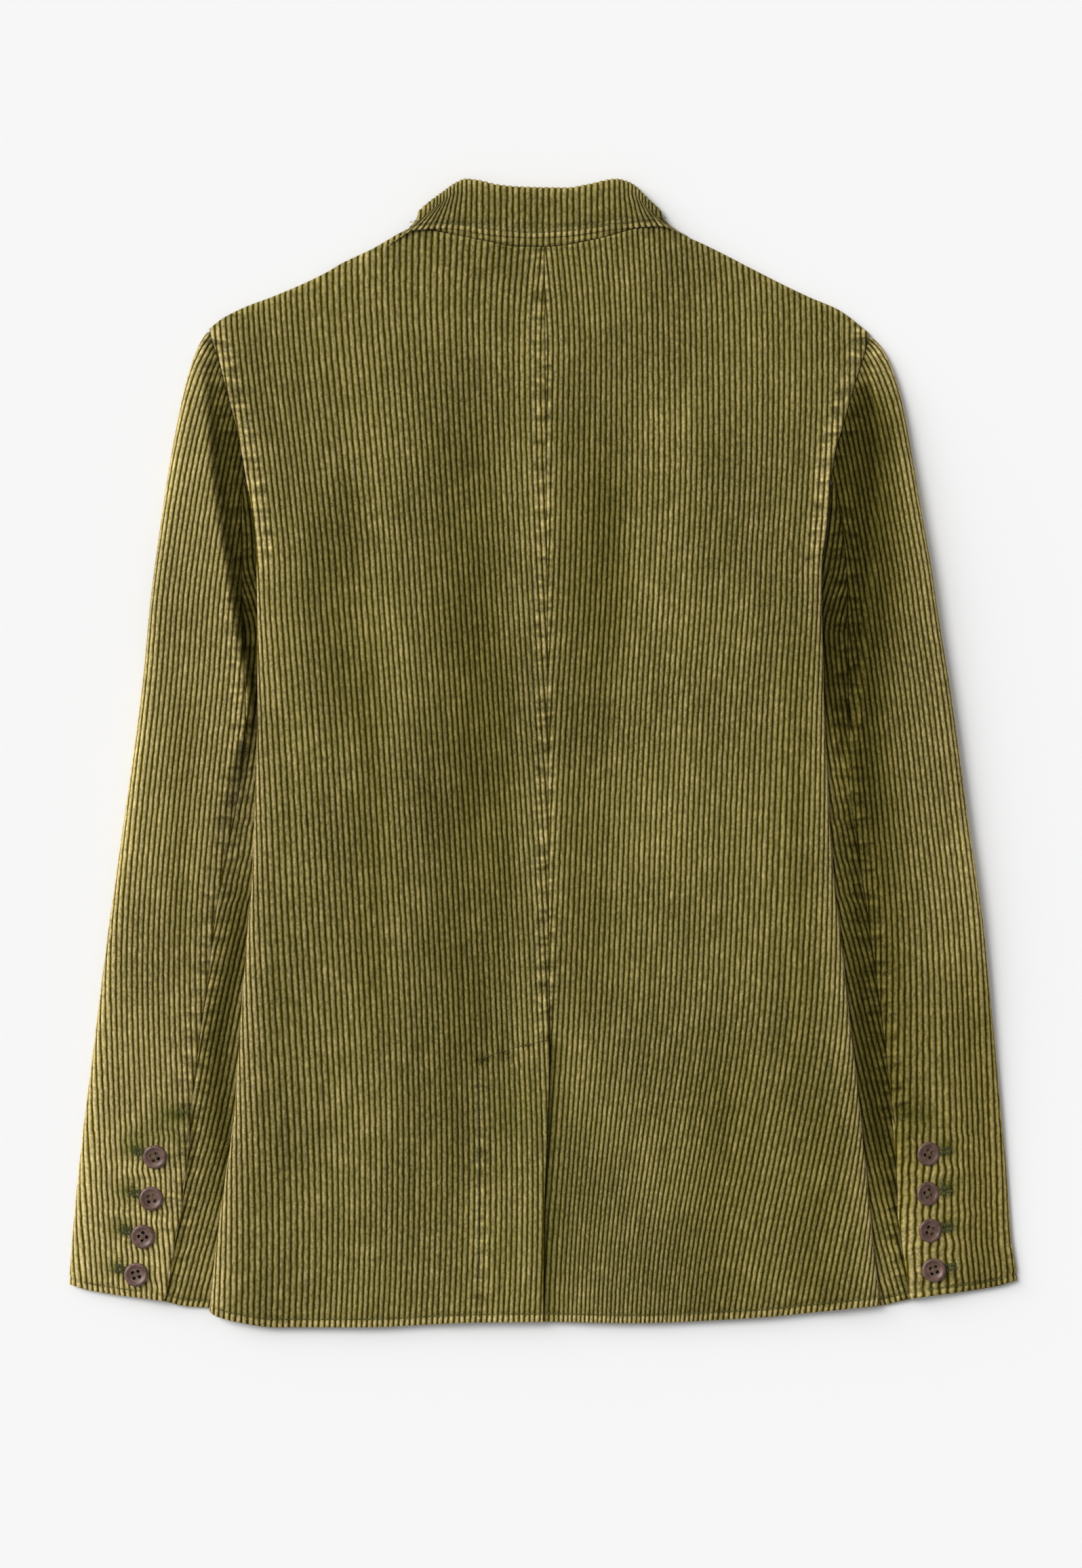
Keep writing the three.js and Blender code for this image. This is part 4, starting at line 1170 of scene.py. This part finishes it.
def work_buttonhole(side, number, x, y, level):
    """A worked slot, most of it beneath the button: two rows of close stitches and loose ends."""
    chance = np.random.default_rng(number + (10 if side == "right" else 0))
    bm = bmesh.new()
    away_x, away_y = buttonhole_way[side]
    for i in range(hole_stitches):
        run = 5 + i * (hole_reach - 5) / (hole_stitches - 1)
        for edge in (-1, 1):
            middle = (x + away_x * run - edge * away_y * 0.3, y + away_y * run + edge * away_x * 0.3)
            tip = chance.uniform(1.9, 3.1)
            swing = chance.uniform(-0.6, 0.6)
            far = (middle[0] - edge * away_y * tip + swing, middle[1] + edge * away_x * tip + swing)
            add_strand(bm, (*middle, level + 0.1), (*far, level + chance.uniform(0, 0.5)), 0.3)
    for _ in range(hole_fuzz):
        run = chance.uniform(6, hole_reach + 1)
        start = (x + away_x * run + chance.uniform(-2, 2), y + away_y * run + chance.normal(0, 2.2))
        end = (start[0] + chance.uniform(-1.6, 1.6), start[1] + chance.uniform(-1.6, 1.6))
        add_strand(bm, (*start, level - 0.3), (*end, level + chance.uniform(0, 0.4)), 0.2, 4)
    thread_piece(f"buttonhole_{side}_{number}", bm, f"sleeve_top_{side}_cloth", thread)


def cloth_piece(name, outer, inner, node):
    mesh = join_skins(name, outer, inner)
    smooth(mesh)
    piece = place_mesh(name, mesh, corduroy, [node])
    return piece


def button_material():
    """Brown horn-like plastic with a soft cloudy grain."""
    material = simple_material("brown_button", (0.11, 0.058, 0.042), 0.38)
    tree = material.node_tree
    shader = tree.nodes["Principled BSDF"]
    place = add_node(tree, "ShaderNodeTexCoord").outputs["Object"]
    cloud = fade(tree, noise(tree, place, 260.0, 4.0, 0.6), 0.3, 0.75)
    color = blend_colors(tree, cloud, (0.085, 0.040, 0.028), (0.17, 0.098, 0.075))
    tree.links.new(color, shader.inputs["Base Color"])
    speck = noise(tree, place, 1800.0, 2.0)
    tree.links.new(fade(tree, speck, 0.3, 0.7, 0.3, 0.5), shader.inputs["Roughness"])
    bump = add_node(tree, "ShaderNodeBump", {"Height": speck, "Strength": 0.15, "Distance": 0.0001})
    tree.links.new(bump.outputs["Normal"], shader.inputs["Normal"])
    return material


def add_button(side, number, middle, low):
    """A turned four-hole button: a round rim, a dished face and a flat underside."""
    bm = bmesh.new()
    profile = [(0, 0.3), (0.66, 0.3), (0.86, 0.5), (0.97, 1.1), (1, 1.75), (0.985, 2.3), (0.94, 2.75),
               (0.87, 3.02), (0.8, 3.08), (0.74, 2.95), (0.68, 2.6), (0.62, 2.3), (0.5, 2.12), (0, 2.05)]
    corners = [bm.verts.new((share * button_radius, 0, height)) for share, height in profile]
    edges = [bm.edges.new(pair) for pair in zip(corners, corners[1:])]
    bmesh.ops.spin(bm, geom=corners + edges, cent=(0, 0, 0), axis=(0, 0, 1), angle=2 * math.pi,
                   steps=56, use_merge=True)
    bmesh.ops.remove_doubles(bm, verts=bm.verts, dist=1e-3)
    bmesh.ops.recalc_face_normals(bm, faces=bm.faces)
    holes = bmesh.new()
    for i in range(4):
        angle = (i + 0.5) * math.pi / 2
        spot = Matrix.Translation((hole_spread * math.cos(angle), hole_spread * math.sin(angle), 1.5))
        bmesh.ops.create_cone(holes, cap_ends=True, segments=20, radius1=hole_radius,
                              radius2=hole_radius, depth=5, matrix=spot)
    body = bpy.data.objects.new("button_body", bpy.data.meshes.new("button_body"))
    cutter = bpy.data.objects.new("hole_cutter", bpy.data.meshes.new("hole_cutter"))
    for made, source in ((body, bm), (cutter, holes)):
        source.to_mesh(made.data)
        source.free()
        bpy.context.scene.collection.objects.link(made)
    cut = body.modifiers.new("holes", "BOOLEAN")
    cut.object = cutter
    cut.operation = "DIFFERENCE"
    cut.solver = "EXACT"
    seen = body.evaluated_get(bpy.context.evaluated_depsgraph_get())
    mesh = bpy.data.meshes.new_from_object(seen)
    bpy.data.objects.remove(body)
    bpy.data.objects.remove(cutter)
    lean_x, lean_y, turn = button_tilts[side][number - 1]
    tilt = (Matrix.Rotation(math.radians(lean_y), 4, "Y") @ Matrix.Rotation(math.radians(lean_x), 4, "X")
            @ Matrix.Rotation(math.radians(turn), 4, "Z"))
    seat = Matrix.Translation((Vector((middle.x, middle.y, low)) + Vector(shift)) * MM)
    mesh.transform(seat @ tilt @ Matrix.Scale(MM, 4))
    smooth(mesh, 40)
    place_mesh(f"cuff_button_{side}_{number}_turned", mesh, horn, [f"cuff_button_{side}_{number}"])
    bm = bmesh.new()
    place = Matrix.Translation((middle.x, middle.y, low)) @ tilt
    holes_at = [place @ Vector((hole_spread * math.cos((i + 0.5) * math.pi / 2),
                                hole_spread * math.sin((i + 0.5) * math.pi / 2), 2.0)) for i in range(4)]
    for first, second, lift in ((0, 2, 0.35), (1, 3, 0.6)):
        middle_top = (holes_at[first] + holes_at[second]) / 2 + Vector((0, 0, lift))
        add_strand(bm, mix(holes_at[first], middle_top, 0.2), middle_top, 0.26)
        add_strand(bm, middle_top, mix(holes_at[second], middle_top, 0.2), 0.26)
    thread_piece(f"button_thread_{side}_{number}", bm, f"sleeve_top_{side}_cloth", button_thread)
    # A thread pad under the button, made near black so that the holes look dark: partly real thread,
    # partly painted shadow
    bm = bmesh.new()
    pad = place @ Matrix.Translation((0, 0, -0.5)) @ Matrix.Diagonal((4.6, 4.6, 0.7, 1))
    bmesh.ops.create_uvsphere(bm, u_segments=16, v_segments=8, radius=MM,
                              matrix=Matrix.Diagonal((MM, MM, MM, 1)) @ pad @ Matrix.Scale(1 / MM, 4))
    thread_piece(f"button_shank_{side}_{number}", bm, f"sleeve_top_{side}_cloth", hole_shadow_thread)


horn = button_material()
sew_collar()
for side in turns:
    sew_body(side)
    sew_sleeve(side)
    for number in (1, 2, 3, 4):
        low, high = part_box(f"cuff_button_{side}_{number}")
        middle = (low + high) / 2 / MM - Vector(shift)
        level = float(sleeve_height(side, abs(middle.x), middle.y))
        work_buttonhole(side, number, middle.x, middle.y, level)
        add_button(side, number, middle, low.z / MM)

last_wale = (vent_lap + underlap_reach) / wale_pitch
lap_wales = np.append(np.arange(0, last_wale, 0.125), last_wale)
outer = underlap_surface(np.linspace(0, 1, 40), lap_wales, 0)
inner = underlap_surface(np.linspace(0, 1, 40), lap_wales[::4], 1)
cloth_piece("vent_underlap_cloth", outer, inner, "back_right")

for side in turns:
    out = 48 if side == "left" else 26
    low, high = (-270, out) if side == "left" else (-out, 305)
    shares = row_shares(690, 5)
    outer = back_surface(side, shares, wale_numbers(low, high), 0)
    inner = back_surface(side, np.linspace(0, 1, 40), wale_numbers(low, high, coarse), 1)
    cloth_piece(f"back_{side}_cloth", outer, inner, f"back_{side}")
    outer = front_surface(side, np.linspace(0, 1, 90), wale_numbers(-24, 230, (0, 0.2, 0.5, 0.8)), 0)
    inner = front_surface(side, np.linspace(0, 1, 40), wale_numbers(-24, 230, coarse), 1)
    cloth_piece(f"front_{side}_cloth", outer, inner, f"front_{side}")
    outer = lapel_surface(side, np.linspace(0, 1, 40), wale_numbers(0, 140, (0, 0.2, 0.5, 0.8)), 0)
    inner = lapel_surface(side, np.linspace(0, 1, 20), wale_numbers(0, 140, coarse), 1)
    cloth_piece(f"lapel_{side}_cloth", outer, inner, f"lapel_{side}")
    for part, top_y, low_q, high_q in (("top", 282.3 if side == "left" else 278.3, -160, 130),
                                       ("under", under_sleeve_top, -120, 130)):
        bottom = float(read(cuff_hem[side], "x", 280, "y"))
        rows = mix(bottom, top_y, row_shares(top_y - bottom, 4.6))
        cuff_rows = rows[rows < -235]
        rows = np.unique(np.concatenate([rows, (cuff_rows[1:] + cuff_rows[:-1])[6:] / 2]))
        outer = sleeve_surface(side, part, rows, wale_numbers(low_q, high_q), 0)
        inner_rows = np.linspace(rows[0], rows[-1], 50)
        inner = sleeve_surface(side, part, inner_rows, wale_numbers(low_q, high_q, coarse), 1)
        cloth_piece(f"sleeve_{part}_{side}_cloth", outer, inner, f"sleeve_{part}_{side}")

levels = np.concatenate([np.linspace(0, 0.28, 16), np.linspace(0.32, 2, 36)])
outer = collar_surface(wale_numbers(-97, 91), levels, 0)
inner = collar_surface(wale_numbers(-97, 91, coarse), np.linspace(0, 2, 20), 1)
cloth_piece("collar_fall_cloth", outer, inner, "collar_fall")
outer = stand_surface(wale_numbers(-84, 80), np.linspace(0, 1, 14), 0)
inner = stand_surface(wale_numbers(-84, 80, coarse), np.linspace(0, 1, 5), 1)
cloth_piece("collar_stand_cloth", outer, inner, "collar_stand")
